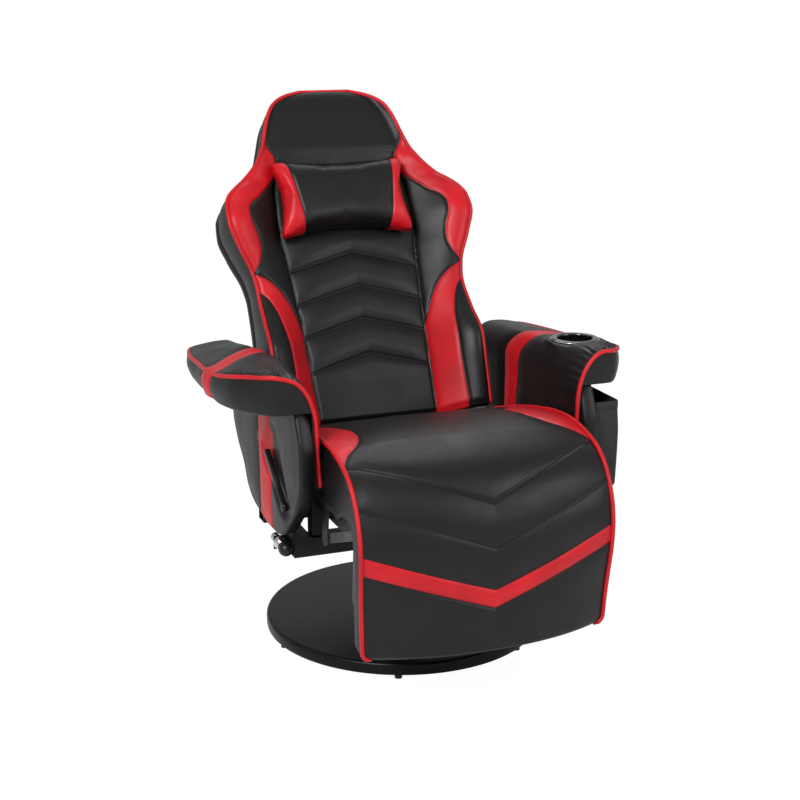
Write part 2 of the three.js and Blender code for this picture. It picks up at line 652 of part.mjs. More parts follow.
function seatCushion() {
  const rings = easedSteps(12).map((share) => {
    const x = share * SEAT_HALF_WIDTH;
    return seatProfile(x).map(([y, z]) => [x, y, z]);
  });
  const body = loft(rings);
  const frontY = SEAT_NOSE_CENTRE_Y - SEAT_NOSE_RADIUS - SEAT_FRONT_BULGE - CUT_OVERRUN;
  const pockets = SIDES.map(({ sign }) => slab(
    sign,
    RAIL_INNER_X - SEAT_GAP,
    SEAT_HALF_WIDTH - SEAT_SKIRT,
    [frontY, LINK_POCKET_REAR_Y],
    [SEAT_APRON_BOTTOM_Z - CUT_OVERRUN, LINK_POCKET_TOP_Z],
  ));
  const underNose = boxBetween(
    [-SEAT_HALF_WIDTH - CUT_OVERRUN, frontY, SEAT_APRON_BOTTOM_Z - CUT_OVERRUN],
    [SEAT_HALF_WIDTH + CUT_OVERRUN, SEAT_BOARD_FRONT_Y, CUSHION_BOTTOM_Z],
  );
  const reach = SEAT_HALF_WIDTH + 2 * CUT_OVERRUN;
  const sweep = rodAlongX(-reach, reach, LEGREST_TOP_DROP - SOFT_GAP, pivot[0], pivot[1], 48);
  return cut(body, ...pockets, cut(underNose, sweep));
}


// Leg rest, in a frame whose origin is the pivot and whose z runs up the hanging pad
function buildLegrest() {
  const legrest = new THREE.Group();
  legrest.position.set(0, LEGREST_PIVOT_Y, LEGREST_PIVOT_Z);
  legrest.rotation.x = LEGREST_TILT;
  const boardFront = -LEGREST_FACE_AHEAD + LEGREST_PAD_THICKNESS + SEAT_GAP;
  const boardBack = boardFront + LEGREST_BOARD_THICKNESS;

  addPiece(legrest, 'legrest_pad', legrestPad(), FINISH.blackLeather);
  const outline = legrestOutline(LEGREST_BOARD_INSET);
  const board = new THREE.ExtrudeGeometry(outline, {
    depth: LEGREST_BOARD_THICKNESS, bevelEnabled: false, curveSegments: 6,
  });
  board.rotateX(Math.PI / 2).translate(0, boardBack, 0);
  addPiece(legrest, 'legrest_board', board, FINISH.plywood);

  const flangeFront = boardBack + SEAT_GAP;
  for (const { sign, name } of SIDES) {
    const [inner, outer] = [sign * ARM_PLATE_INNER_X, sign * ARM_PLATE_OUTER_X];
    const flangeX = sign * (ARM_PLATE_OUTER_X - LEGREST_FLANGE_WIDTH);
    const neck = sidePlate(linkShape([0, 0], [CRANK_BACK, -CRANK_LENGTH], LEGREST_ARM_HALF_WIDTH), inner, outer);
    const leg = sidePlate(polygonShape([
      [flangeFront, -CRANK_LENGTH - LEGREST_ARM_HALF_WIDTH / 2],
      [CRANK_BACK + LEGREST_ARM_HALF_WIDTH, -CRANK_LENGTH],
      [CRANK_BACK + LEGREST_ARM_HALF_WIDTH, -LEGREST_ARM_FOOT_DROP],
      [flangeFront, -LEGREST_ARM_FOOT_DROP],
    ]), inner, outer);
    const flange = boxBetween(
      [Math.min(flangeX, outer), flangeFront, -LEGREST_ARM_FOOT_DROP],
      [Math.max(flangeX, outer), flangeFront + PLATE, -LEGREST_FLANGE_TOP_DROP],
    );
    const linkPin = rodAlongX(
      sign * (RAIL_OUTER_X + SEAT_GAP),
      sign * (ARM_PLATE_INNER_X + PLATE / 2),
      LINK_PIN_RADIUS,
      CRANK_BACK,
      -CRANK_LENGTH,
    );
    const arm = cut(
      join(neck, leg, flange, linkPin),
      rodAlongX(inner - sign * CUT_OVERRUN, outer + sign * CUT_OVERRUN, LINK_PIN_RADIUS + PIN_GAP, 0, 0),
    );
    addPiece(legrest, `legrest_arm_${name}`, arm, FINISH.blackSteel);
  }
  return legrest;
}

// Front view outline (x, z) with two rounded lower corners, drawn for an extrusion turned about x
function legrestOutline(inset) {
  const half = LEGREST_HALF_WIDTH - inset;
  const top = -LEGREST_TOP_DROP;
  const bottom = -LEGREST_BOTTOM_DROP + inset;
  const radius = LEGREST_CORNER_RADIUS;
  const shape = new THREE.Shape();
  shape.moveTo(-half, top);
  shape.lineTo(-half, bottom + radius);
  shape.absarc(-half + radius, bottom + radius, radius, Math.PI, 1.5 * Math.PI, false);
  shape.absarc(half - radius, bottom + radius, radius, 1.5 * Math.PI, 2 * Math.PI, false);
  shape.lineTo(half, top);
  shape.closePath();
  return shape;
}

function legrestPad() {
  const face = -LEGREST_FACE_AHEAD;
  const back = face + LEGREST_PAD_THICKNESS;
  const rings = easedSteps(14).map((share) => {
    const x = share * LEGREST_HALF_WIDTH;
    const bulge = LEGREST_BULGE * (1 - share ** 2);
    const fromEdge = LEGREST_HALF_WIDTH - Math.abs(x);
    const inCorner = Math.max(0, LEGREST_CORNER_RADIUS - fromEdge);
    const lift = LEGREST_CORNER_RADIUS - Math.sqrt(LEGREST_CORNER_RADIUS ** 2 - inCorner ** 2);
    const bottom = -LEGREST_BOTTOM_DROP + lift;
    const soft = LEGREST_PAD_THICKNESS / 3;
    return [
      [x, back, -LEGREST_TOP_DROP],
      [x, face - bulge, -LEGREST_TOP_DROP],
      [x, face - bulge, bottom + 2 * soft],
      [x, face - bulge + soft / 2, bottom + soft / 2],
      [x, face - bulge + soft * 1.5, bottom],
      [x, back, bottom],
    ];
  });
  return loft(rings);
}

// Cranks, cross shaft and the two links that carry the leg rest's push
function buildLinkage() {
  const linkage = new THREE.Group();
  const crossShaft = rodAlongX(-ARM_PLATE_OUTER_X, ARM_PLATE_OUTER_X, SHAFT_RADIUS, shaft[0], shaft[1]);
  addPiece(linkage, 'drive_shaft', crossShaft, FINISH.brightSteel);
  for (const { sign, name } of SIDES) {
    const plate = sidePlate(
      linkShape(shaft, crankEnd, SHAFT_BOSS_RADIUS, [SHAFT_RADIUS + SEAT_GAP]),
      sign * ARM_PLATE_INNER_X,
      sign * ARM_PLATE_OUTER_X,
    );
    const pin = rodAlongX(
      sign * (RAIL_OUTER_X + SEAT_GAP),
      sign * (ARM_PLATE_INNER_X + PLATE / 2),
      LINK_PIN_RADIUS,
      crankEnd[0],
      crankEnd[1],
    );
    addPiece(linkage, `drive_crank_${name}`, join(plate, pin), FINISH.blackSteel);
    const holes = [LINK_PIN_RADIUS + PIN_GAP, LINK_PIN_RADIUS + LINK_GAP];
    const link = sidePlate(
      linkShape(crankEnd, armPinPlace, LINK_HALF_WIDTH, holes),
      sign * LINK_INNER_X,
      sign * (LINK_INNER_X + PLATE),
    );
    addPiece(linkage, `legrest_link_${name}`, link, FINISH.brightSteel);
  }
  return linkage;
}

// Back rest tables, as shares of the back's height, wing width and bolster rise
const BACK_OUTLINE_SHARES = [
  [0, 0.845, 0.75],
  [0.1, 0.85, 1],
  [0.2, 0.852, 1],
  [0.3, 0.842, 0.68],
  [0.385, 0.838, 0.44],
  [0.44, 0.862, 0.47],
  [0.52, 0.945, 0.6],
  [0.59, 1, 0.73],
  [0.635, 0.993, 0.64],
  [0.665, 0.958, 0.52],
  [0.695, 0.887, 0.42],
  [0.72, 0.8, 0.32],
  [0.748, 0.725, 0.3],
  [0.775, 0.665, 0.3],
  [0.82, 0.61, 0.25],
  [0.865, 0.568, 0.24],
  [0.91, 0.526, 0.24],
  [0.945, 0.478, 0.24],
  [0.97, 0.423, 0.16],
  [0.988, 0.34, 0.08],
  [1, 0.2, 0],
];

function tableAt(share, column) {
  const rows = BACK_OUTLINE_SHARES;
  const inside = THREE.MathUtils.clamp(share, 0, 1);
  const index = Math.max(1, rows.findIndex((row) => row[0] >= inside));
  const [low, high] = [rows[index - 1], rows[index]];
  const along = (inside - low[0]) / (high[0] - low[0]);
  return low[column] + (high[column] - low[column]) * along;
}

const backHalfWidth = (height) => BACK_WING_HALF_WIDTH * tableAt(height / BACK_HEIGHT, 1);
const bolsterRise = (height) => BACK_BOLSTER_RISE * tableAt(height / BACK_HEIGHT, 2);

// How far the padded face stands ahead of the flat middle
function backFace(x, height) {
  const half = backHalfWidth(height);
  const inner = Math.min(BACK_CENTRE_HALF_WIDTH, half / 2);
  const across = THREE.MathUtils.clamp((Math.abs(x) - inner) / (half - inner), 0, 1);
  const rise = bolsterRise(height) * Math.sin((across * Math.PI) / 2);
  const fromEdge = Math.min(half - Math.abs(x), BACK_HEIGHT - height);
  const inRound = Math.max(0, BACK_EDGE_ROUND - fromEdge);
  const drop = BACK_EDGE_ROUND - Math.sqrt(Math.max(0, BACK_EDGE_ROUND ** 2 - inRound ** 2));
  return rise - drop + BACK_CROWN * (1 - (x / half) ** 2);
}

// A padded block between two heights, from one share of the width to another
function backPad(heights, fromX, toX, columns) {
  const rings = heights.map((height) => {
    const [low, high] = [fromX(height), toX(height)];
    const front = [];
    for (let step = 0; step <= columns; step += 1) {
      const x = low + ((high - low) * (1 - Math.cos((Math.PI * step) / columns))) / 2;
      front.push([x, -backFace(x, height), height]);
    }
    return [...front, [high, BACK_PAD_DEPTH, height], [low, BACK_PAD_DEPTH, height]];
  });
  return loft(rings);
}

const tableHeights = (low, high) => {
  const inside = BACK_OUTLINE_SHARES.map((row) => row[0] * BACK_HEIGHT).filter((h) => h > low && h < high);
  return [low, ...inside, high];
};

function buildBack() {
  const back = new THREE.Group();
  back.position.set(0, BACK_FOOT_Y, BACK_FOOT_Z);
  back.rotation.x = -BACK_LEAN;
  const gap = SEAT_GAP / 2;
  const bodyHeights = tableHeights(0, BACK_HEAD_START - gap);
  const headHeights = tableHeights(BACK_HEAD_START + gap, BACK_HEIGHT);
  const inner = (height) => Math.min(BACK_CENTRE_HALF_WIDTH, backHalfWidth(height)) - gap;

  const centre = backPad(bodyHeights, (h) => -inner(h), inner, 4);
  addPiece(back, 'back_centre_pad', centre, FINISH.blackLeather);
  for (const { sign, name } of SIDES) {
    const edges = [(h) => sign * (inner(h) + 2 * gap), (h) => sign * backHalfWidth(h)];
    const [from, to] = sign > 0 ? edges : edges.reverse();
    addPiece(back, `back_bolster_${name}`, backPad(bodyHeights, from, to, 5), FINISH.redLeather);
  }
  const head = backPad(headHeights, (h) => -backHalfWidth(h), backHalfWidth, 10);
  addPiece(back, 'head_pad', head, FINISH.blackLeather);

  const board = new THREE.ExtrudeGeometry(polygonShape([
    [-BACK_BOARD_HALF_WIDTH, BACK_BOARD_FOOT],
    [BACK_BOARD_HALF_WIDTH, BACK_BOARD_FOOT],
    [BACK_BOARD_HALF_WIDTH, BACK_BOARD_SHOULDER],
    [BACK_BOARD_TOP_HALF_WIDTH, BACK_BOARD_TOP],
    [-BACK_BOARD_TOP_HALF_WIDTH, BACK_BOARD_TOP],
    [-BACK_BOARD_HALF_WIDTH, BACK_BOARD_SHOULDER],
  ]), { depth: BACK_BOARD_THICKNESS, bevelEnabled: false });
  board.rotateX(Math.PI / 2).translate(0, BACK_BOARD_BACK, 0);
  addPiece(back, 'back_board', board, FINISH.plywood);
  addPiece(back, 'back_shell', backShell(), FINISH.blackLeather);

  for (const { sign, name } of SIDES) {
    const [near, far] = [sign * RECLINE_BRACKET_X, sign * (RECLINE_BRACKET_X + PLATE)];
    const plateFront = BACK_BOARD_BACK + SEAT_GAP;
    const plate = sidePlate(polygonShape([
      [plateFront, BACK_BOARD_FOOT - RECLINE_BOSS_RADIUS],
      [plateFront + RECLINE_BRACKET_DEPTH, BACK_BOARD_FOOT - RECLINE_BOSS_RADIUS],
      [plateFront + RECLINE_BRACKET_DEPTH, RECLINE_BRACKET_HEIGHT],
      [plateFront, RECLINE_BRACKET_HEIGHT],
    ]), near, far);
    const neck = sidePlate(linkShape(
      [RECLINE_DEPTH, -RECLINE_DROP],
      [plateFront + RECLINE_BRACKET_DEPTH / 2, -RECLINE_BRACKET_DEPTH / 2],
      RECLINE_BRACKET_DEPTH / 2,
    ), near, far);
    const boss = rodAlongX(near, far, RECLINE_BOSS_RADIUS, RECLINE_DEPTH, -RECLINE_DROP, 24);
    const bracket = cut(
      join(plate, neck, boss),
      rodAlongX(near - sign * CUT_OVERRUN, far + sign * CUT_OVERRUN,
        SHAFT_RADIUS + PIN_GAP, RECLINE_DEPTH, -RECLINE_DROP),
    );
    addPiece(back, `recline_bracket_${name}`, bracket, FINISH.blackSteel);
  }

  addPiece(back, 'head_pillow', headPillow(), FINISH.blackLeather);
  const [strapLow, strapHigh] = [-1, 1].map((way) => PILLOW_FOOT + (PILLOW_HEIGHT + way * STRAP_HEIGHT) / 2);
  const strap = loft(easedSteps(8).map((share) => {
    const x = share * STRAP_HALF_LENGTH;
    const front = pillowBack(x) + 2 * SEAT_GAP;
    const rear = front + STRAP_THICKNESS;
    return [[x, front, strapLow], [x, rear, strapLow], [x, rear, strapHigh], [x, front, strapHigh]];
  }));
  addPiece(back, 'pillow_strap', strap, FINISH.blackVinyl);
  return back;
}

// Rear shell: a tray behind the pads, open at its foot for the brackets
function backShell() {
  const front = BACK_PAD_DEPTH + SEAT_GAP;
  const taperShares = [[0, 0], [0.6, 0.35], [0.9, 0.8], [1, 1.6]];
  const ringAt = (height, shrink, near, far) => {
    const half = backHalfWidth(height) - shrink;
    const depths = taperShares.map(([deep, taper]) => [near + (far - near) * deep, taper * BACK_SHELL_TAPER]);
    const right = depths.map(([y, taper]) => [half - taper, y, height]);
    const left = depths.map(([y, taper]) => [-half + taper, y, height]).reverse();
    return [...right, ...left];
  };
  const outerHeights = tableHeights(0, BACK_HEIGHT);
  const outer = loft(outerHeights.map((h) => ringAt(h, 0, front, BACK_SHELL_DEPTH)));
  const innerHeights = tableHeights(0, BACK_HEIGHT - 2 * BACK_SHELL_TAPER);
  innerHeights[0] = -CUT_OVERRUN;
  const cavityAt = (h) => ringAt(
    Math.max(h, 0),
    BACK_SHELL_WALL,
    front - CUT_OVERRUN,
    BACK_SHELL_DEPTH - BACK_SHELL_WALL,
  ).map(([x, y]) => [x, y, h]);
  return cut(outer, loft(innerHeights.map(cavityAt)));
}

// The pillow's rear face stands off the back and wraps forward round the rising bolsters
const pillowBack = (x) =>
  -(BACK_CROWN + STRAP_THICKNESS + 3 * SEAT_GAP + PILLOW_WRAP * (x / PILLOW_HALF_WIDTH) ** 2);

// Head pillow: full in the middle and pinched along its edges
function headPillow() {
  const columns = 10;
  const rows = 8;
  const rings = [];
  for (let row = 0; row <= rows; row += 1) {
    const up = -Math.cos((Math.PI * row) / rows);
    const half = PILLOW_HALF_WIDTH - PILLOW_PINCH * (1 - up * up);
    const height = PILLOW_FOOT + (PILLOW_HEIGHT * (1 + up)) / 2;
    const front = [];
    const rear = [];
    for (let column = 0; column <= columns; column += 1) {
      const across = -Math.cos((Math.PI * column) / columns);
      const fullness = Math.sqrt((1 - across ** 4) * (1 - up ** 4));
      const edge = PILLOW_EDGE + PILLOW_EDGE_CROWN * (1 - across ** 2);
      const depth = edge + (PILLOW_THICKNESS - edge) * fullness;
      front.push([half * across, pillowBack(half * across) - depth, height]);
      rear.unshift([half * across, pillowBack(half * across), height]);
    }
    rings.push([...front, ...rear]);
  }
  return loft(rings);
}

// Arms: a D-shaped side panel under a padded arm whose inner side runs down beside the seat
const ARM_PANEL_SHARES = [
  [0.067, 1], [0.004, 0.734], [0.002, 0.569], [0.043, 0.397], [0.162, 0.183], [0.29, 0.024],
  [0.458, 0], [0.568, 0.024], [0.675, 0.055], [0.765, 0.138], [0.834, 0.303], [0.927, 0.452],
  [0.984, 0.607], [1, 0.75], [1, 1],
];
// Length share, then the outer edge as a share of the width and the leg's depth as a share
const ARM_PAD_SHARES = [
  [0, 0.4, 1], [0.0075, 0.51, 1], [0.036, 0.62, 1], [0.09, 0.77, 1], [0.169, 0.906, 1],
  [0.294, 0.975, 1], [0.412, 1, 1], [0.56, 0.956, 1], [0.762, 0.913, 1], [0.912, 0.82, 0.8],
  [0.978, 0.74, 0.3], [1, 0.66, 0.1],
];

function buildArms() {
  const arms = new THREE.Group();
  for (const { sign, name } of SIDES) {
    const panel = armPanel(sign);
    addPiece(arms, `arm_panel_${name}`, panel, FINISH.blackLeather);
    const pad = armPad(sign);
    addPiece(arms, `arm_cushion_${name}`, pad, FINISH.blackLeather);
  }
  addPiece(arms, 'cup_holder', cupHolder(), FINISH.chrome);
  addPiece(arms, 'side_pouch', sidePouch(), FINISH.blackVinyl);
  return arms;
}

// Heights of the pad's outer edge and underside, which both fall towards the rear
const armEdgeZ = (y) => ARM_PAD_EDGE_Z - (y - ARM_PAD_FRONT_Y) * Math.tan(ARM_PAD_PITCH);
const armUnderZ = (y) => ARM_PAD_UNDER_Z - (y - ARM_PAD_FRONT_Y) * Math.tan(ARM_PAD_UNDER_PITCH);

function armPanel(sign) {
  const length = ARM_PANEL_REAR_Y - ARM_PANEL_FRONT_Y;
  const shape = polygonShape(ARM_PANEL_SHARES.map(([along, up]) => {
    const y = ARM_PANEL_FRONT_Y + along * length;
    return [y, ARM_PANEL_BOTTOM_Z + up * (armUnderZ(y) - SEAT_GAP - ARM_PANEL_BOTTOM_Z)];
  }));
  const width = ARM_PANEL_OUTER_X - ARM_PANEL_INNER_X;
  const geometry = new THREE.ExtrudeGeometry(shape, {
    depth: width - 2 * ARM_PANEL_ROUND,
    bevelSize: ARM_PANEL_ROUND,
    bevelThickness: ARM_PANEL_ROUND,
    bevelOffset: -ARM_PANEL_ROUND,
    bevelSegments: 2,
  });
  const lowX = sign > 0 ? ARM_PANEL_INNER_X : -ARM_PANEL_OUTER_X;
  geometry.applyMatrix4(new THREE.Matrix4().set(
    0, 0, 1, lowX + ARM_PANEL_ROUND,
    1, 0, 0, 0,
    0, 1, 0, 0,
    0, 0, 0, 1,
  ));
  return sign > 0 ? geometry : cut(geometry, leverRecess(), leverShaftHole());
}

function armPad(sign) {
  const length = ARM_PAD_REAR_Y - ARM_PAD_FRONT_Y;
  const rings = ARM_PAD_SHARES.map(([along, outerShare, legShare]) => {
    const y = ARM_PAD_FRONT_Y + along * length;
    const width = outerShare * (ARM_PAD_OUTER_X - ARM_PAD_INNER_X);
    const outer = ARM_PAD_INNER_X + width;
    const squaring = Math.min(1, along / ARM_CORNER_FRONT_SHARE);
    const cornerWidth = THREE.MathUtils.lerp(ARM_CORNER_WIDTH, ARM_CORNER_REAR_WIDTH, squaring);
    const cornerDepth = THREE.MathUtils.lerp(ARM_CORNER_HEIGHT, ARM_CORNER_REAR_HEIGHT, squaring);
    const corner = Math.min(cornerWidth, width * 0.8);
    const crown = ARM_PAD_CROWN * (1 - along / 2);
    const [edge, under] = [armEdgeZ(y), armUnderZ(y)];
    const legBottom = under - legShare * (ARM_PAD_UNDER_Z - ARM_LEG_BOTTOM_Z);
    const round = ARM_PAD_ROUND;
    const cornerHeight = Math.min(cornerDepth, edge - legBottom - round);
    const innerCorner = [0, 0.25, 0.5, 0.75, 1].map((share) => [
      ARM_PAD_INNER_X + corner * (1 - Math.cos((share * Math.PI) / 2)),
      edge - cornerHeight + (cornerHeight + crown) * Math.sin((share * Math.PI) / 2),
    ]);
    const topStart = ARM_PAD_INNER_X + corner;
    const topLength = outer - round / 2 - topStart;
    const top = [0.35, 0.7, 1].map((share) => [topStart + share * topLength, edge + crown * (1 - share ** 2)]);
    const section = [
      [ARM_LEG_INNER_X, legBottom],
      ...innerCorner,
      ...top,
      [outer, edge - round / 2],
      [outer, under + round],
      [outer - round, under],
      [ARM_LEG_OUTER_X, under],
      [ARM_LEG_OUTER_X, legBottom],
    ];
    return section.map(([x, z]) => [sign * x, y, z]);
  });
  const geometry = loft(rings);
  if (sign < 0) return geometry;
  const holes = [
    [CUP_RADIUS + SEAT_GAP, CUP_SHOULDER_Z - CUP_DEPTH - SEAT_GAP],
    [CUP_RIM_RADIUS + SOFT_GAP, CUP_SHOULDER_Z - SEAT_GAP],
  ].map(([radius, floor]) => {
    const height = CUP_SHOULDER_Z + CUP_DEPTH - floor;
    const hole = new THREE.CylinderGeometry(radius, radius, height, 32).rotateX(Math.PI / 2);
    return hole.translate(CUP_X, CUP_Y, floor + height / 2);
  });
  return cut(geometry, ...holes);
}

function cupHolder() {
  const profile = [
    [0, -CUP_DEPTH],
    [CUP_RADIUS, -CUP_DEPTH],
    [CUP_RADIUS, 0],
    [CUP_RIM_RADIUS, 0],
    [CUP_RIM_RADIUS, CUP_RIM_HEIGHT / 2],
    [CUP_RIM_RADIUS - CUP_RIM_HEIGHT / 2, CUP_RIM_HEIGHT],
    [CUP_RADIUS, CUP_RIM_HEIGHT],
    [CUP_RADIUS - CUP_WALL, 0],
    [CUP_RADIUS - CUP_WALL, -CUP_DEPTH + CUP_WALL],
    [0, -CUP_DEPTH + CUP_WALL],
  ];
  const geometry = new THREE.LatheGeometry(profile.map(([r, z]) => new THREE.Vector2(r, z)), 32);
  return geometry.rotateX(Math.PI / 2).translate(CUP_X, CUP_Y, CUP_SHOULDER_Z);
}

// Open-topped pouch on the outside of the left arm panel
function sidePouch() {
  const near = ARM_PANEL_OUTER_X + SEAT_GAP;
  const far = near + POUCH_DEPTH;
  return cut(
    boxBetween([near, POUCH_FRONT_Y, POUCH_BOTTOM_Z], [far, POUCH_REAR_Y, POUCH_TOP_Z]),
    boxBetween(
      [near + POUCH_WALL, POUCH_FRONT_Y + POUCH_WALL, POUCH_BOTTOM_Z + POUCH_WALL],
      [far - POUCH_WALL, POUCH_REAR_Y - POUCH_WALL, POUCH_TOP_Z + CUT_OVERRUN],
    ),
  );
}

// Release lever on the outside of the right arm panel, in a shallow recess
const leverTip = [
  LEVER_PIVOT_Y + LEVER_LENGTH * Math.cos(LEVER_LEAN),
  LEVER_PIVOT_Z + LEVER_LENGTH * Math.sin(LEVER_LEAN),
];
const leverInnerX = ARM_PANEL_OUTER_X - LEVER_RECESS_DEPTH + LEVER_STAND_OFF;

function leverRecess() {
  const reach = LEVER_LENGTH + LEVER_RECESS_MARGIN;
  const lowest = LEVER_LEAN - LEVER_RECESS_SPARE;
  const highest = LEVER_LEAN + LEVER_THROW + LEVER_RECESS_SPARE;
  const outline = new THREE.Shape();
  outline.absarc(LEVER_PIVOT_Y, LEVER_PIVOT_Z, reach, lowest, highest, false);
  outline.absarc(
    LEVER_PIVOT_Y, LEVER_PIVOT_Z, LEVER_RECESS_MARGIN, highest + Math.PI / 2, lowest + 3 * Math.PI / 2, false,
  );
  outline.closePath();
  return sidePlate(
    outline,
    -(ARM_PANEL_OUTER_X + CUT_OVERRUN),
    -(ARM_PANEL_OUTER_X - LEVER_RECESS_DEPTH),
    12,
  );
}

const leverShaftHole = () => rodAlongX(
  -(ARM_PANEL_OUTER_X + CUT_OVERRUN),
  -(ARM_PANEL_INNER_X - CUT_OVERRUN),
  LEVER_SHAFT_RADIUS + PIN_GAP,
  LEVER_PIVOT_Y,
  LEVER_PIVOT_Z,
);

function buildLever() {
  const lever = new THREE.Group();
  const middle = leverTip.map((end, axis) => (end + [LEVER_PIVOT_Y, LEVER_PIVOT_Z][axis]) / 2);
  const near = -leverInnerX;
  const far = -(leverInnerX + LEVER_THICKNESS);
  const grip = sidePlate(linkShape(middle, leverTip, LEVER_HALF_WIDTH), near, far);
  const neck = sidePlate(linkShape([LEVER_PIVOT_Y, LEVER_PIVOT_Z], middle, LEVER_ROOT_HALF_WIDTH), near, far);
  const hub = rodAlongX(near, far, LEVER_HALF_WIDTH, LEVER_PIVOT_Y, LEVER_PIVOT_Z, 20);
  const spindle = rodAlongX(
    -(ARM_PANEL_INNER_X + SEAT_GAP),
    (near + far) / 2,
    LEVER_SHAFT_RADIUS,
    LEVER_PIVOT_Y,
    LEVER_PIVOT_Z,
  );
  addPiece(lever, 'release_lever', join(neck, grip, hub, spindle), FINISH.blackPlastic);
  return lever;
}

// Lock bracket on the end of the front beam, its chrome sleeve, and the ball knob on its stud
function buildLock() {
  const lock = new THREE.Group();
  const centreZ = BEAM_Z + BEAM_TUBE / 2 + LOCK_RISE;
  const near = BEAM_HALF_LENGTH + SEAT_GAP;
  const plateY = BEAM_FRONT_Y + LOCK_PLATE_SET_BACK;
  const plate = join(
    boxBetween(
      [-(near + PLATE), plateY - LOCK_FLANGE_LENGTH, centreZ - LOCK_PLATE_HALF_HEIGHT],
      [-near, plateY + PLATE, centreZ + LOCK_PLATE_HALF_HEIGHT],
    ),
    boxBetween(
      [-LOCK_PLATE_REACH, plateY, centreZ - LOCK_PLATE_HALF_HEIGHT],
      [-near, plateY + PLATE, centreZ + LOCK_PLATE_HALF_HEIGHT],
    ),
  );
  const studHole = rodAlongY(LOCK_STUD_RADIUS + PIN_GAP, PLATE + 2 * CUT_OVERRUN);
  studHole.translate(-LOCK_SLEEVE_X, plateY - CUT_OVERRUN, centreZ);
  addPiece(lock, 'lock_bracket', cut(plate, studHole), FINISH.blackSteel);

  const sleeveFrontY = plateY - SEAT_GAP - LOCK_SLEEVE_LENGTH;
  const sleeve = cut(
    rodAlongY(LOCK_SLEEVE_RADIUS, LOCK_SLEEVE_LENGTH),
    rodAlongY(LOCK_STUD_RADIUS + PIN_GAP, LOCK_SLEEVE_LENGTH + 2 * CUT_OVERRUN).translate(0, -CUT_OVERRUN, 0),
  );
  addPiece(lock, 'lock_sleeve', sleeve, FINISH.chrome).position.set(-LOCK_SLEEVE_X, sleeveFrontY, centreZ);

  const ball = new THREE.SphereGeometry(LOCK_KNOB_RADIUS, 20, 14).rotateX(Math.PI / 2);
  const knob = addPiece(lock, 'lock_knob', join(ball, rodAlongY(LOCK_STUD_RADIUS, LOCK_STUD_LENGTH)), FINISH.blackPlastic);
  knob.position.set(-LOCK_SLEEVE_X, sleeveFrontY - LOCK_KNOB_RADIUS - LINK_GAP, centreZ);
  return lock;
}

// A rod that starts at the origin and runs towards +y
function rodAlongY(radius, length) {
  const geometry = new THREE.CylinderGeometry(radius, radius, length, 20);
  return geometry.translate(0, length / 2, 0);
}

chair.add(buildBase(), buildFrame(), buildLegrest(), buildLinkage(), buildBack(), buildArms());
chair.add(buildLever(), buildLock());
addPiece(chair, 'seat_cushion', seatCushion(), FINISH.blackLeather);

export default model;
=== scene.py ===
import json
import math

import bmesh
import bpy
import numpy as np
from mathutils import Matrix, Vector, noise

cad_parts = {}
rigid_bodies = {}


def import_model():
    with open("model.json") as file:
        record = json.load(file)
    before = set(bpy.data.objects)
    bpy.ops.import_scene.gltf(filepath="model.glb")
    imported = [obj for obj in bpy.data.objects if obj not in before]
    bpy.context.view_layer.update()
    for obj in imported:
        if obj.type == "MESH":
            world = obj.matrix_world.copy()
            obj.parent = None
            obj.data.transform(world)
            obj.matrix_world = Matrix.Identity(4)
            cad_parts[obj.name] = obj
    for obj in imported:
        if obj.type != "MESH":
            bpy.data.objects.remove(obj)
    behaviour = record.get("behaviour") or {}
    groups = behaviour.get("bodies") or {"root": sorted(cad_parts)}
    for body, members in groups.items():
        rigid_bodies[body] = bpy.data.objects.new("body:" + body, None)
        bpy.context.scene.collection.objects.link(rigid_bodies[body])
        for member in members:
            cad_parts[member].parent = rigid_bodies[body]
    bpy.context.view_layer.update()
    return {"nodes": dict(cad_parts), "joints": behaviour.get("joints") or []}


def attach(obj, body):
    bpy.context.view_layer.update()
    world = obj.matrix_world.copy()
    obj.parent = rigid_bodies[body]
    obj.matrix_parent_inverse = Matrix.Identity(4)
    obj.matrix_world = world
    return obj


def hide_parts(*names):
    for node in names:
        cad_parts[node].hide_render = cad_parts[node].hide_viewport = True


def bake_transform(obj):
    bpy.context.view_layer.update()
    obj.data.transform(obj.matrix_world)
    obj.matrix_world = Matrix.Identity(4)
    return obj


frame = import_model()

MM = 0.001
JOINTS = {joint["name"]: joint for joint in frame["joints"]}
SWIVEL_Y = JOINTS["seat_swivel"]["pos_m"][1] / MM
SIDES = {"right": -1, "left": 1}
# How deep the soft unevenness of each cover is, in millimetres
UNEVEN = {"seat": 1.6, "back": 1.3, "rear": 1.2, "pillow": 1.3, "arm": 1.5, "pouch": 1.6}


# Numbers and curves
def smoothstep(value, low, high):
    share = np.clip((np.asarray(value, float) - low) / (high - low), 0, 1)
    return share * share * (3 - 2 * share)


def through(places, values, at):
    """A smooth curve through a table of values, which it never overshoots."""
    places, values = np.asarray(places, float), np.asarray(values, float)
    steps = np.diff(places)
    slopes = np.diff(values) / steps
    before, after = 2 * steps[1:] + steps[:-1], steps[1:] + 2 * steps[:-1]
    with np.errstate(divide="ignore", invalid="ignore"):
        mean = (before + after) / (before / slopes[:-1] + after / slopes[1:])
    inner = np.where(slopes[:-1] * slopes[1:] > 0, mean, 0)
    tangents = np.concatenate([slopes[:1], inner, slopes[-1:]])
    at = np.clip(at, places[0], places[-1])
    index = np.clip(np.searchsorted(places, at) - 1, 0, len(steps) - 1)
    step = steps[index]
    share = (at - places[index]) / step
    rest = 1 - share
    return (
        values[index] * (1 + 2 * share) * rest**2
        + values[index + 1] * share**2 * (3 - 2 * share)
        + tangents[index] * step * share * rest**2
        - tangents[index + 1] * step * share**2 * rest
    )


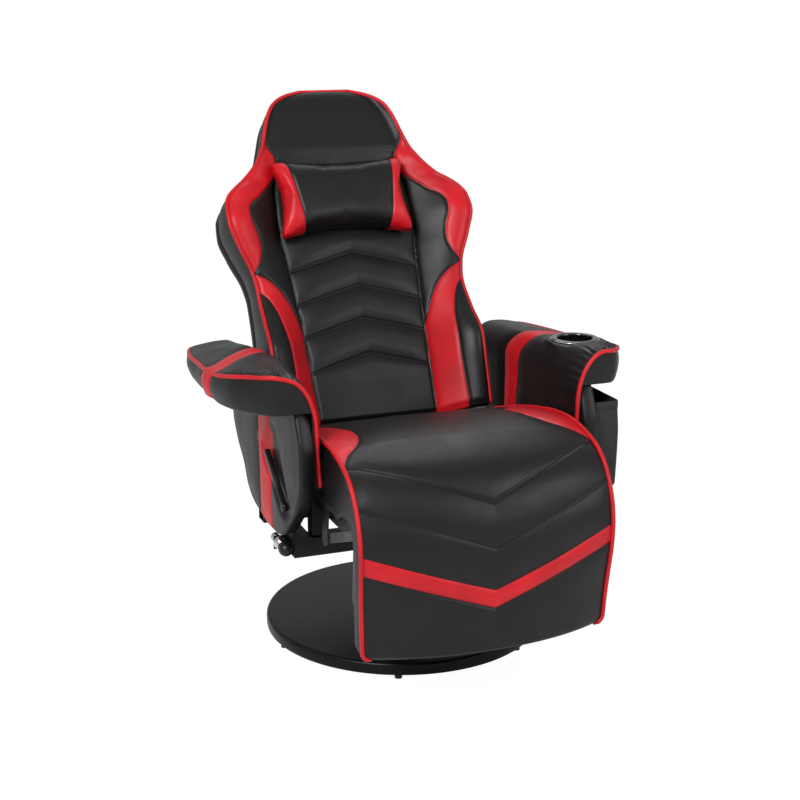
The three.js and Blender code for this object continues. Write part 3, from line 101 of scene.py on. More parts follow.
def lengths_along(points):
    return np.concatenate([[0], np.cumsum(np.linalg.norm(np.diff(points, axis=0), axis=1))])


def resample(points, spacing):
    points = np.asarray(points, float)
    run = lengths_along(points)
    at = np.linspace(0, run[-1], max(2, round(run[-1] / spacing) + 1))
    return np.stack([np.interp(at, run, column) for column in points.T], axis=1)


def rounded_path(points, spacing):
    """A smooth line through chosen points, in even steps."""
    points = np.asarray(points, float)
    run = lengths_along(points)
    at = np.linspace(0, run[-1], 12 * len(points))
    return resample(np.stack([through(run, column, at) for column in points.T], axis=1), spacing)


def distance_to_line(places, line):
    """How far each flat place is from a line of straight stretches."""
    best = np.full(len(places), np.inf)
    for start, end in zip(line[:-1], line[1:]):
        along = end - start
        share = np.clip((places - start) @ along / max(along @ along, 1e-9), 0, 1)
        best = np.minimum(best, np.linalg.norm(places - start - share[:, None] * along, axis=1))
    return best


def inside_outline(places, outline):
    """Positive inside a closed outline and negative outside, by the distance to it."""
    closed = np.vstack([outline, outline[:1]])
    inside = np.zeros(len(places), bool)
    for (x0, y0), (x1, y1) in zip(closed[:-1], closed[1:]):
        crosses = (y0 > places[:, 1]) != (y1 > places[:, 1])
        with np.errstate(divide="ignore", invalid="ignore"):
            meet = (x1 - x0) * (places[:, 1] - y0) / (y1 - y0) + x0
        inside ^= crosses & (places[:, 0] < meet)
    return np.where(inside, 1, -1) * distance_to_line(places, closed)


def signed_nearest(lines):
    """The distance to the nearest of several lines, with a sign that turns at each line."""
    lines = np.asarray(lines, float)
    sign = np.prod(np.where(lines < 0, -1, 1), axis=0)
    return sign * np.min(np.abs(lines), axis=0)


def wrinkle(points, size, seed=0.0):
    """Soft unevenness from -1 to 1 with bumps of about the given size."""
    offset = Vector((seed, seed * 1.7, -seed))
    return np.array([noise.noise(Vector(p / size) + offset) for p in points])


def rounded_drop(away, reach, depth):
    """How far a rounded rim has dropped at a distance from its edge."""
    near = max(0.0, reach - away) / reach
    return depth * (1 - math.sqrt(max(0.0, 1 - near**2)))


def hollow(away, depth, reach):
    """The depth of a soft groove at a distance from its line."""
    return depth * np.exp(-((away / reach) ** 2))


# Meshes
WELD = 0.01
BEAD_SIDES = 10
BEAD_END = 0.35
BEAD_START = (0.3, 0.2, 0.93)
# Which of a turned piece's own axes, with z as its axis, gives x, y and z
TURNED_ORDER = {"x": [2, 0, 1], "y": [0, 2, 1], "z": [0, 1, 2]}


def in_scene(points):
    return (np.asarray(points, float) + [0, SWIVEL_Y, 0]) * MM


def add_values(piece, **values):
    for key, numbers in values.items():
        attribute = piece.data.attributes.new(key, "FLOAT", "POINT")
        attribute.data.foreach_set("value", np.asarray(numbers, np.float32))


def shade_smooth(piece):
    piece.data.polygons.foreach_set("use_smooth", np.ones(len(piece.data.polygons), bool))


def make_mesh(name, points, faces, finish, values=None, smooth=True, weld=False):
    """A piece in the scene from places in millimetres, with named values at its places."""
    mesh = bpy.data.meshes.new(name)
    mesh.from_pydata(in_scene(points).tolist(), [], faces)
    mesh.materials.append(finish)
    piece = bpy.data.objects.new(name, mesh)
    bpy.context.scene.collection.objects.link(piece)
    add_values(piece, **(values or {}))
    shell = bmesh.new()
    shell.from_mesh(mesh)
    if weld:
        bmesh.ops.remove_doubles(shell, verts=shell.verts, dist=WELD * MM)
    bmesh.ops.recalc_face_normals(shell, faces=shell.faces)
    shell.to_mesh(mesh)
    shell.free()
    if smooth:
        shade_smooth(piece)
    return piece


def ring_faces(rings, around, ends=True):
    """Faces between rings of points, and one across each end where it is wanted."""
    faces = []
    for low in range(0, (rings - 1) * around, around):
        high = low + around
        for step in range(around):
            following = (step + 1) % around
            faces.append((low + step, low + following, high + following, high + step))
    if ends:
        faces.append(tuple(range(around)))
        faces.append(tuple((rings - 1) * around + step for step in reversed(range(around))))
    return faces


def make_loft(name, rings, finish, values=None):
    rings = np.asarray(rings, float)
    faces = ring_faces(rings.shape[0], rings.shape[1])
    return make_mesh(name, rings.reshape(-1, 3), faces, finish, values)


def make_bead(name, path, radius, finish):
    """A round cord along a path, with both ends drawn in."""
    path = np.asarray(path, float)
    tangents = np.gradient(path, axis=0)
    tangents /= np.linalg.norm(tangents, axis=1)[:, None]
    across = np.cross(tangents[0], BEAD_START)
    rings = []
    angles = np.linspace(0, 2 * math.pi, BEAD_SIDES, endpoint=False)
    last = len(path) - 1
    for index, (place, tangent) in enumerate(zip(path, tangents)):
        across = across - tangent * (across @ tangent)
        across /= np.linalg.norm(across)
        beside = np.cross(tangent, across)
        full = radius * (BEAD_END if index in (0, last) else 1)
        rings.append(place + full * (np.outer(np.cos(angles), across) + np.outer(np.sin(angles), beside)))
    return make_loft(name, rings, finish)


def keep_corners(piece, degrees):
    """Shades a turned or moulded piece smooth, with its sharp edges kept."""
    piece.data.set_sharp_from_angle(angle=math.radians(degrees))


def make_turned(name, profile, finish, place=(0, 0, 0), axis="z", sides=96, corners=40):
    """A turned piece from a profile of (radius, height), with edges past a number of degrees kept sharp."""
    angles = np.linspace(0, 2 * math.pi, sides, endpoint=False)
    circle = np.column_stack([np.cos(angles), np.sin(angles), np.zeros(sides)])
    rings = [radius * circle + [0, 0, height] for radius, height in profile]
    points = np.concatenate(rings)[:, TURNED_ORDER[axis]]
    faces = ring_faces(len(profile), sides, ends=False)
    piece = make_mesh(name, points + np.asarray(place, float), faces, finish, weld=True)
    keep_corners(piece, corners)
    return piece


# Shader maths
def feed(tree, socket, value):
    """Links a socket to what gives its value, or sets it to a plain value."""
    if isinstance(value, Signal):
        value = value.socket
    if isinstance(value, bpy.types.NodeSocket):
        tree.links.new(value, socket)
    else:
        socket.default_value = value


def add_node(tree, kind, settings=None, sockets=None):
    """A node of a shader or geometry tree, with its settings made and its sockets fed."""
    node = tree.nodes.new(kind)
    for key, value in (settings or {}).items():
        setattr(node, key, value)
    for key, value in (sockets or {}).items():
        feed(tree, node.inputs[key], value)
    return node


class Signal:
    """A number that changes over a surface, written in sums as a plain number is."""

    def __init__(self, finish, socket):
        self.finish, self.socket = finish, socket

    def maths(self, operation, *others, clamp=False):
        sockets = dict(enumerate([self, *others]))
        node = self.finish.node("ShaderNodeMath", {"operation": operation, "use_clamp": clamp}, sockets)
        return Signal(self.finish, node.outputs[0])

    def __add__(self, other):
        return self.maths("ADD", other)

    def __mul__(self, other):
        return self.maths("MULTIPLY", other)

    def __sub__(self, other):
        return self.maths("SUBTRACT", other)

    def __rsub__(self, other):
        return (self * -1.0) + other

    __radd__ = __add__
    __rmul__ = __mul__

    def step(self, low, high):
        """0 below low, 1 above high, and even in between."""
        return ((self - low) * (1.0 / (high - low))).maths("ADD", 0.0, clamp=True)

    def size(self):
        return self.maths("ABSOLUTE")


class Finish:
    """A material whose nodes are added by one method."""

    def __init__(self, name):
        self.material = bpy.data.materials.new(name)
        self.material.use_nodes = True
        self.tree = self.material.node_tree
        self.surface = self.tree.nodes["Principled BSDF"]
        self.places = self.node("ShaderNodeTexCoord").outputs["Object"]

    def node(self, kind, settings=None, sockets=None):
        return add_node(self.tree, kind, settings, sockets)

    def attribute(self, name):
        node = self.node("ShaderNodeAttribute", {"attribute_name": name})
        return Signal(self, node.outputs["Fac"])

    def noise(self, scale, detail=3.0, roughness=0.5, stretch=None):
        places = self.places
        if stretch:
            places = self.node("ShaderNodeMapping", {}, {"Vector": places, "Scale": stretch}).outputs[0]
        sockets = {"Vector": places, "Scale": scale, "Detail": detail, "Roughness": roughness}
        return Signal(self, self.node("ShaderNodeTexNoise", {}, sockets).outputs["Fac"])

    def cells(self, scale):
        sockets = {"Vector": self.places, "Scale": scale}
        node = self.node("ShaderNodeTexVoronoi", {"feature": "DISTANCE_TO_EDGE"}, sockets)
        return Signal(self, node.outputs["Distance"])

    def mix(self, amount, first, second):
        node = self.node("ShaderNodeMix", {"data_type": "RGBA"})
        colours = [socket for socket in node.inputs if socket.type == "RGBA"]
        for socket, value in zip((node.inputs[0], *colours), (amount, first, second)):
            feed(self.tree, socket, value)
        return next(socket for socket in node.outputs if socket.type == "RGBA")

    def bump(self, height, strength, depth_mm):
        sockets = {"Height": height, "Strength": strength, "Distance": depth_mm * MM}
        return self.node("ShaderNodeBump", {}, sockets).outputs["Normal"]

    def set(self, **sockets):
        for key, value in sockets.items():
            feed(self.tree, self.surface.inputs[key.replace("_", " ")], value)
        return self.material


def colour(red, green, blue):
    """A colour given as it is seen on a screen, as light values."""
    light = [c / 12.92 if c <= 0.04045 else ((c + 0.055) / 1.055) ** 2.4 for c in (red, green, blue)]
    return (*light, 1.0)


BLACK_LEATHER = colour(0.042, 0.042, 0.045)
BLACK_LEATHER_WORN = colour(0.068, 0.068, 0.072)
RED_LEATHER = colour(0.80, 0.085, 0.13)
RED_LEATHER_DEEP = colour(0.68, 0.055, 0.095)
SEAM_SHADOW = colour(0.02, 0.02, 0.022)

# What stands for no red panel and no seam near by, in millimetres
NOT_RED = -50.0
FAR_FROM_SEAM = 500.0


def leather(name, mixed=True, red=False, seams=True, ribs=False):
    """Grained leather. "red" is how far a place lies in a red panel, "seam" and "rib" how far from a seam."""
    finish = Finish(name)
    cloud = finish.noise(14, 4, 0.6)
    black = finish.mix(cloud.step(0.35, 0.7), BLACK_LEATHER, BLACK_LEATHER_WORN)
    dyed = finish.mix(cloud.step(0.3, 0.75), RED_LEATHER_DEEP, RED_LEATHER)
    tint = dyed if red else black
    grain = finish.cells(620) * 1.6 + finish.cells(260) * 0.9 + finish.noise(1900, 2) * 0.35
    relief = grain.step(0.0, 1.1)
    if mixed:
        edge = finish.attribute("red")
        tint = finish.mix(edge.step(-0.25, 0.25), black, dyed)
    if seams:
        apart = finish.attribute("seam").size()
        if ribs:
            apart = apart.maths("MINIMUM", finish.attribute("rib").size())
        line = 1.0 - apart.step(0.55, 1.3)
        tint = finish.mix(line, tint, SEAM_SHADOW)
        fold = apart.step(0.0, 4.0)
        relief = relief * 0.35 + fold * 1.9
    creases = finish.noise(85, 5, 0.6, (1.0, 1.0, 0.7)).step(0.35, 0.75)
    height = relief + creases * 0.5
    return finish.set(
        Base_Color=tint,
        Roughness=0.44 - cloud.step(0.4, 0.7) * 0.08 + grain.step(0.2, 1.0) * 0.05,
        Specular_IOR_Level=0.3,
        Normal=finish.bump(height, 0.5, 0.55),
    )


# Tint, worn tint, roughness, metallic, scale of the grain, its depth in millimetres, coat and sheen
HARD_FINISHES = {
    "black_steel": ((0.055, 0.055, 0.058), (0.085, 0.085, 0.09), 0.42, 0.0, 900, 0.12, 0.0, 0.3),
    "bright_steel": ((0.36, 0.36, 0.375), (0.28, 0.28, 0.29), 0.42, 1.0, 300, 0.04, 0.0, 0.5),
    "chrome": ((0.86, 0.86, 0.88), (0.78, 0.78, 0.8), 0.16, 1.0, 120, 0.02, 0.0, 0.5),
    "satin_black": ((0.05, 0.05, 0.052), (0.065, 0.065, 0.067), 0.34, 0.0, 700, 0.02, 0.0, 0.14),
    "black_plastic": ((0.05, 0.05, 0.054), (0.075, 0.075, 0.08), 0.36, 0.0, 1300, 0.08, 0.0, 0.35),
    "gloss_black": ((0.03, 0.03, 0.032), (0.045, 0.045, 0.047), 0.14, 0.0, 60, 0.02, 0.6, 0.5),
    "rubber": ((0.06, 0.06, 0.06), (0.09, 0.09, 0.09), 0.82, 0.0, 1100, 0.15, 0.0, 0.5),
    "black_thread": ((0.05, 0.05, 0.055), (0.1, 0.1, 0.105), 0.6, 0.0, 2500, 0.1, 0.0, 0.5),
    "hole_shade": ((0.03, 0.03, 0.03), (0.045, 0.045, 0.045), 0.85, 0.0, 2000, 0.05, 0.0, 0.5),
}


def hard_finish(name, tint, worn, roughness, metal, grain, depth, coat, sheen):
    """A hard finish with a fine surface grain, faint clouding and small scratches."""
    finish = Finish(name)
    cloud = finish.noise(22, 4, 0.6)
    scratch = finish.noise(150, 2, 0.5, (1, 14, 1)).step(0.6, 0.66)
    skin = finish.noise(grain, 3, 0.6)
    return finish.set(
        Base_Color=finish.mix(cloud.step(0.4, 0.75), colour(*tint), colour(*worn)),
        Roughness=cloud * 0.12 + scratch * 0.06 + (roughness - 0.06),
        Metallic=metal,
        Coat_Weight=coat,
        Specular_IOR_Level=sheen,
        Normal=finish.bump(skin, 0.35, depth),
    )


def plywood_finish():
    finish = Finish("plywood")
    rings = finish.noise(7, 5, 0.55, (1, 1, 14))
    fibres = finish.noise(240, 3, 0.6, (1, 1, 22))
    tint = finish.mix(rings.step(0.35, 0.65), colour(0.24, 0.2, 0.17), colour(0.18, 0.15, 0.13))
    return finish.set(
        Base_Color=finish.mix(fibres.step(0.45, 0.8) * 0.5, tint, colour(0.12, 0.1, 0.09)),
        Roughness=fibres * 0.2 + 0.55,
        Normal=finish.bump(fibres, 0.4, 0.3),
    )


def fabric_finish(name, tint, raised, threads):
    """A woven cloth whose threads cross under and over."""
    finish = Finish(name)
    split = finish.node("ShaderNodeSeparateXYZ", {}, {"Vector": finish.places})
    waves = [Signal(finish, split.outputs[axis]).maths("MULTIPLY", threads).maths("SINE") for axis in "XYZ"]
    weave = (waves[0] + waves[1]) * waves[2]
    fuzz = finish.noise(900, 3, 0.7)
    return finish.set(
        Base_Color=finish.mix((weave * 0.25 + fuzz).step(0.3, 0.9), tint, raised),
        Roughness=fuzz * 0.15 + 0.72,
        Normal=finish.bump(weave * 0.4 + fuzz, 0.5, 0.35),
    )


COVER = leather("two_tone_leather")
RIBBED_COVER = leather("ribbed_two_tone_leather", ribs=True)
RED_PIPING = leather("red_piping_leather", mixed=False, red=True, seams=False)
BLACK_HIDE = leather("black_leather", mixed=False)
(
    BLACK_STEEL, BRIGHT_STEEL, CHROME, SATIN_BLACK, BLACK_PLASTIC, GLOSS_BLACK, RUBBER, THREAD, HOLE_SHADE,
) = (hard_finish(name, *looks) for name, looks in HARD_FINISHES.items())
PLYWOOD = plywood_finish()
POUCH_FABRIC = fabric_finish("black_fabric", colour(0.1, 0.1, 0.105), colour(0.17, 0.17, 0.175), 3600)


def dress(node, finish):
    """Gives a frame node that keeps its shape its finish."""
    piece = frame["nodes"][node]
    piece.data.materials.clear()
    piece.data.materials.append(finish)
    piece.data.polygons.foreach_set("material_index", np.zeros(len(piece.data.polygons), np.int32))
    return piece


# Seat and leg rest: one leather cover from the back of the seat over the nose to the foot
SEAT_HALF_WIDTH = 262
SEAT_STEP = 3.0
SEAT_LINE = [
    (120, 438), (40, 461), (-42, 484), (-140, 506), (-206, 517), (-262, 521), (-302, 519), (-330, 514),
    (-362, 506), (-391, 495), (-418, 477), (-440, 452), (-456, 422), (-467, 388), (-471, 354),
    (-469, 312), (-463, 262), (-457, 200), (-453, 141),
]
NOSE_TOP = (-313, 515)
NOSE_FRONT = (-478, 350)
NOSE_CENTRE = np.array([-313.0, 350.0])
SEAT_CROWN = 11
FRONT_BULGE = 30
FOOT_BULGE = 48
BOARD_TOP_Z = 397.5
APRON_Z = 388
SKIRT_WALL = 3.5
CORE_HALF_WIDTH = 239.5
COVER_OVER_LINKS = 5
LEGREST_PAD = 34
LEGREST_BOXING = 45
LEGREST_CORNER = 20
FOOT_TAPER = 7
FOOT_TAPER_LENGTH = 200
CROWN_POWER = 2.3
SEAT_COLUMNS = 75
SKIRT_COLUMNS = 9
SKIRT_SWELL = 2.5
# Height below which the cover hangs straight, and angles round the nose in degrees: 0 is up, 90 is ahead
BELOW_NOSE_Z = 345
BELOW_NOSE = 95
SKIRT_LIMIT, CORE_LIMIT = 70, 58
SKIRT_TURN, CORE_TURN = (30, 92), (55, 92)
THIN_START, THIN_END = (2, 24), (76, 92)
SKIRT_LEAST, CORE_LEAST = 8, 0.5
INWARD_BLEND = 60
# Reach and depth of the rounded rims at the foot and at the rear
FOOT_RIM, REAR_RIM = (10, 9), (12, 10)
SEAT_PUFF, SEAT_PUFF_REACH = 3.0, 20
SEAT_GROOVE, SEAT_GROOVE_REACH = 3.0, 2.8
EDGE_SHARE, EDGE_POWER = 1.004, 0.25
# Where the flat top of the seat begins and is full, by y
SEAT_TOP = (-330, -120)
BAND_WIDTH = 38
PERFORATION_PITCH = 4.6
PIPING = 4.4

SIDE_LINE = rounded_path(SEAT_LINE, SEAT_STEP)
SIDE_RUN = lengths_along(SIDE_LINE)
SEAT_LENGTH = SIDE_RUN[-1]


def run_at(place, line=SIDE_LINE):
    return SIDE_RUN[np.argmin(np.linalg.norm(line - np.asarray(place, float), axis=1))]


NOSE_START = run_at((-300, 519))
NOSE_END = run_at((-471, 340))


def seat_bulge(run):
    """How far the middle stands ahead of and above the side line."""
    top = np.clip(run / NOSE_START, 0, 1)
    nose = np.clip((run - NOSE_START) / (NOSE_END - NOSE_START), 0, 1)
    face = np.clip((run - NOSE_END) / (SEAT_LENGTH - NOSE_END), 0, 1)
    ahead = FRONT_BULGE * smoothstep(top, 0.35, 1.25) / smoothstep(1, 0.35, 1.25)
    ahead = ahead + (FOOT_BULGE - FRONT_BULGE) * face
    crown = SEAT_CROWN * np.sin(top * math.pi / 2) * (1 - nose)
    return np.stack([-ahead, crown], axis=-1)


def across_share(x, half=SEAT_HALF_WIDTH):
    return 1 - np.clip(np.abs(x) / half, 0, 1) ** CROWN_POWER


CENTRE_LINE = SIDE_LINE + seat_bulge(SIDE_RUN)


class Chevron:
    """A seam that drops in a V from both sides of the cover to its middle."""

    def __init__(self, side, side_x, apex, shift=0.0, flat=0.0):
        self.side_x, self.reach = side_x, side_x - flat
        self.apex = run_at(apex, CENTRE_LINE) + shift
        self.slope = (run_at(side) + shift - self.apex) / self.reach

    def line(self, x):
        """The length along the cover at which the seam lies."""
        return self.apex + self.slope * np.minimum(np.abs(x), self.reach)

    def away(self, x, run):
        return (run - self.line(x)) / math.hypot(1, self.slope)


UPPER_SEAM = Chevron((-380, 499), 250, (-479, 438), flat=12)
LOWER_SEAM = Chevron((-446, 441), 258, (-499, 350))
BAND_TOP = Chevron((-471, 357), 256, (-500, 267))
BAND_FOOT = Chevron((-471, 357), 256, (-500, 267), shift=BAND_WIDTH)
# The red corner patch beside the back: places (x, length along the cover)
PATCH_EDGE = [
    (285, 105), (240, 150), (206, 205), (191, 265), (186, 330), (189, 366), (196, 393), (205, 414),
    (216, 432), (227, 447), (238, 461), (247, 476), (254, 491), (259, 510), (262, 532), (285, 560),
]
PATCH_OUTLINE = rounded_path(PATCH_EDGE, 6)


def seat_values(x, run):
    """The red panels and the nearest seam at places of the cover."""
    patch = inside_outline(np.stack([np.abs(x), run], axis=1), PATCH_OUTLINE)
    seams = [seam.away(x, run) for seam in (UPPER_SEAM, LOWER_SEAM, BAND_TOP, BAND_FOOT)]
    band = np.minimum(seams[2], -seams[3])
    return np.maximum(band, patch), signed_nearest([*seams, patch])


def seat_relief(x, seam):
    """The padding's rise between seams and sides, less the seams' grooves."""
    edge = np.minimum(np.abs(SEAT_HALF_WIDTH - np.abs(x)), np.abs(seam))
    full = SEAT_PUFF - hollow(edge, SEAT_PUFF, SEAT_PUFF_REACH)
    return full - hollow(seam, SEAT_GROOVE, SEAT_GROOVE_REACH)


def inward_normals(line):
    along = np.gradient(line, axis=0)
    along /= np.linalg.norm(along, axis=1)[:, None]
    return np.stack([-along[:, 1], along[:, 0]], axis=1)


def seat_depths(line):
    """Depths behind the side line, of the side skirt, the ceiling over the links, and the core."""
    spokes = line - NOSE_CENTRE
    on_top = line[:, 0] > NOSE_CENTRE[0]
    angle = np.degrees(np.arctan2(-spokes[:, 0], spokes[:, 1]))
    angle = np.where(line[:, 1] < BELOW_NOSE_Z, BELOW_NOSE, np.where(on_top, 0, angle))
    radius = np.where(on_top, spokes[:, 1], np.linalg.norm(spokes, axis=1))
    skirt = radius - (APRON_Z - NOSE_CENTRE[1]) / np.cos(np.radians(np.minimum(angle, SKIRT_LIMIT)))
    fold = smoothstep(angle, *SKIRT_TURN)
    skirt = skirt * (1 - fold) + LEGREST_BOXING * fold
    core = radius - (BOARD_TOP_Z - NOSE_CENTRE[1]) / np.cos(np.radians(np.minimum(angle, CORE_LIMIT)))
    turn = smoothstep(angle, *CORE_TURN)
    core = core * (1 - turn) + LEGREST_PAD * turn
    thin = smoothstep(angle, *THIN_START) * (1 - smoothstep(angle, *THIN_END))
    ceiling = (core - 1) * (1 - thin) + COVER_OVER_LINKS * thin
    return np.maximum(skirt, SKIRT_LEAST), np.minimum(ceiling, core - CORE_LEAST), core


def cover_half_width(run):
    """Half the cover's width, which draws in towards the foot and round its corners."""
    foot = SEAT_LENGTH - np.asarray(run, float)
    corner = np.clip(LEGREST_CORNER - foot, 0, LEGREST_CORNER)
    taper = FOOT_TAPER * smoothstep(foot, FOOT_TAPER_LENGTH, 0)
    return SEAT_HALF_WIDTH - taper - LEGREST_CORNER + np.sqrt(LEGREST_CORNER**2 - corner**2)


def hidden_offsets(half, skirt, ceiling, core):
    """Places (x, depth) down the skirt and under the cover, from its edge to near its middle."""
    wall = half - SKIRT_WALL
    core_x = min(CORE_HALF_WIDTH, wall - 12)
    down = np.linspace(0, 1, SKIRT_COLUMNS)[1:]
    side = [(half + SKIRT_SWELL * math.sin(math.pi * share), share * skirt) for share in down]
    under = [(wall, skirt), (wall, (skirt + ceiling) / 2), (wall, ceiling + 0.2), (wall, ceiling)]
    under += [((wall + core_x) / 2, ceiling), (core_x, ceiling)]
    under += [(core_x, ceiling + (core - ceiling) * share) for share in (0.33, 0.66, 1)]
    under += [(core_x * share, core) for share in (0.8, 0.55, 0.3)]
    return np.array(side + under)


def seat_cover_rings():
    """The cover's cuts from the back of the seat to the foot, with how red they are and their seams."""
    blend = smoothstep(SIDE_LINE[:, 0], NOSE_CENTRE[0], NOSE_CENTRE[0] + INWARD_BLEND)[:, None]
    inward = inward_normals(SIDE_LINE) * (1 - blend) + np.array([0.0, -1.0]) * blend
    inward /= np.linalg.norm(inward, axis=1)[:, None]
    shares = np.linspace(0, 1, SEAT_COLUMNS)
    rings, reds, seams = [], [], []
    cuts = zip(SIDE_LINE, inward, SIDE_RUN, seat_bulge(SIDE_RUN), *seat_depths(SIDE_LINE))
    for place, inner, run, bulge, skirt, ceiling, core in cuts:
        half = float(cover_half_width(run))
        x = shares * half
        red, seam = seat_values(x, np.full(len(x), run))
        drop = rounded_drop(SEAT_LENGTH - run, *FOOT_RIM) + rounded_drop(run, *REAR_RIM)
        drop = drop - seat_relief(x, seam) * across_share(x, half * EDGE_SHARE) ** EDGE_POWER
        face = place + bulge * across_share(x, half)[:, None] + inner * drop[:, None]
        offsets = hidden_offsets(half, skirt, ceiling, core)
        hidden = np.column_stack([offsets[:, 0], place + inner * offsets[:, 1:]])
        half_ring = np.vstack([np.column_stack([x, face]), hidden])
        bottom = np.array([[0, *(place + inner * core)]])
        rings.append(np.vstack([half_ring, bottom, (half_ring * [-1, 1, 1])[:0:-1]]))
        far = math.copysign(FAR_FROM_SEAM, seam[-1])
        for whole, values, rest in ((reds, red, NOT_RED), (seams, seam, far)):
            half_values = np.concatenate([values, np.full(len(hidden), rest)])
            whole.append(np.concatenate([half_values, [rest], half_values[:0:-1]]))
    return np.array(rings), np.array(reds), np.array(seams)


def seat_surface(x, run):
    """The place of the cover's face at a distance across and a length along it."""
    line = np.stack([np.interp(run, SIDE_RUN, SIDE_LINE[:, k]) for k in (0, 1)], axis=-1)
    flat = line + seat_bulge(run) * across_share(x)[..., None]
    return np.concatenate([np.broadcast_to(x, run.shape)[..., None], flat], axis=-1)


def build_seat():
    rings, reds, seams = seat_cover_rings()
    points = rings.reshape(-1, 3)
    top = smoothstep(points[:, 1], *SEAT_TOP)
    points[:, 2] += top * UNEVEN["seat"] * wrinkle(points * [1, 1, 0.2], 46, 3.0)
    values = {"red": reds.ravel(), "seam": seams.ravel()}
    cover = make_loft("seat_cover", points.reshape(rings.shape), COVER, values)
    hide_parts("seat_cushion", "legrest_pad")
    bend(cover)
    path = SIDE_LINE - inward_normals(SIDE_LINE) * 1.5
    for name, sign in SIDES.items():
        line = np.column_stack([sign * (cover_half_width(SIDE_RUN) + 1), path])
        piping = make_bead(f"seat_piping_{name}", line[3:], PIPING, RED_PIPING)
        bend(piping)


def bend(piece):
    """Bakes a piece's place into its mesh; the piece does not fold between the seat and the leg rest."""
    start, end = in_scene((0, *NOSE_TOP)), in_scene((0, *NOSE_FRONT))
    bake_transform(piece)


build_seat()


# Back rest, in its own leaning frame: x across, forward of its face, and height along the lean
LEAN_AXIS = JOINTS["pillow_height"]["axis"]
LEAN = math.atan2(LEAN_AXIS[1], LEAN_AXIS[2])
BACK_FOOT = (133, 434)
BACK_HEIGHT = 802
BACK_WIDEST = 291
BACK_STEP = 3.2
# Height, half-width and how far the edge stands forward
BACK_OUTLINE = np.array([
    (0, 246, 60), (80, 247, 72), (161, 248, 81), (236, 245, 54), (309, 244, 35), (353, 250, 37),
    (419, 275, 48), (474, 290, 59), (510, 288, 51), (533, 279, 42), (556, 258, 34), (579, 232, 24),
    (600, 211, 24), (620, 195, 24), (646, 180, 21), (684, 167, 19), (728, 153, 19), (754, 140, 19),
    (777, 119, 12), (792, 92, 5), (802, 58, 0),
], float)
# Height, and half-width of the seam between the centre panel and the bolsters
PANEL_SEAM = [
    (0, 139), (145, 146), (240, 148), (300, 152), (400, 158), (440, 163), (540, 160), (640, 146), (802, 146),
]
# Edges (x, height) of the red wings and of the red arcs, and the seam under the head panel
WING_INNER = [
    (300, 620), (300, 700), (166, 690), (165, 671), (157, 653), (148, 638), (143, 612), (148, 596),
    (160, 583), (182, 560), (208, 534), (228, 518), (238, 496), (237, 474), (227, 442), (223, 410),
    (230, 380), (241, 362), (256, 347), (300, 345),
]
ARC_EDGE = [
    (300, 368), (254, 353), (240, 346), (218, 334), (190, 309), (170, 275), (158, 245), (147, 208),
    (143, 150), (140, 60), (138, -20), (201, -20), (199, 60), (198, 120), (199.5, 170), (204, 215),
    (213, 256), (226, 287), (243, 306), (262, 316), (300, 322),
]
HEAD_SEAM = [(0, 612), (110, 616), (138, 624), (148, 638)]
CHEVRON_APEXES = (402, 320, 241, 158)
CHEVRON_SLOPE = 40 / 150
CHEVRONS_APART = 60
CHANNEL_PUFF, CHANNEL_REACH = 6.5, 16
CHANNELS_START, CHANNELS_END = (90, 150), (420, 470)
BOLSTER_PUFF = 13
PANEL_PUFF = 4
# Where the head panel begins, and its puff and the reach of its rounded top
HEAD_START = (600, 660)
HEAD_PUFF, HEAD_ROUND = 17, 60
PANEL_TOP, RIBS_TOP = 640, 500
BACK_COLUMNS = 173
BOXING_DEPTH, BOXING_ROWS, BOXING_SWELL = 45, 12, 4.5
BACK_RIM = 12
FOOT_TUCK, FOOT_TUCK_HEIGHT = 14, 16
SEAM_SINK, SEAM_REACH = 3.4, 3.0
SHELL_DEPTH, SHELL_ROUND, SHELL_TOP, SHELL_CROWN = 93, 24, 34, 4
SHELL_BORDER = 52


def half_width(height):
    return through(BACK_OUTLINE[:, 0], BACK_OUTLINE[:, 1], height)


def edge_rise(height):
    return through(BACK_OUTLINE[:, 0], BACK_OUTLINE[:, 2], height)


def panel_half(height):
    return np.minimum(through(*np.transpose(PANEL_SEAM), height), 0.86 * half_width(height))


def from_back(x, forward, height):
    x, forward, height = np.broadcast_arrays(x, forward, height)
    y = BACK_FOOT[0] + height * math.sin(LEAN) - forward * math.cos(LEAN)
    z = BACK_FOOT[1] + height * math.cos(LEAN) + forward * math.sin(LEAN)
    return np.stack([x, y, z], axis=-1)


def chevron_lines(x, height):
    """Signed distances to the chevron seams of the centre panel."""
    lines = [height - apex + CHEVRON_SLOPE * np.abs(x) for apex in CHEVRON_APEXES]
    return np.array(lines) / math.hypot(1, CHEVRON_SLOPE)


def chevron_away(x, height):
    """The distance to the nearest of the chevron seams of the centre panel."""
    away = np.min(np.abs(chevron_lines(x, height)), axis=0)
    return np.where(np.abs(x) <= panel_half(height), away, CHEVRONS_APART)


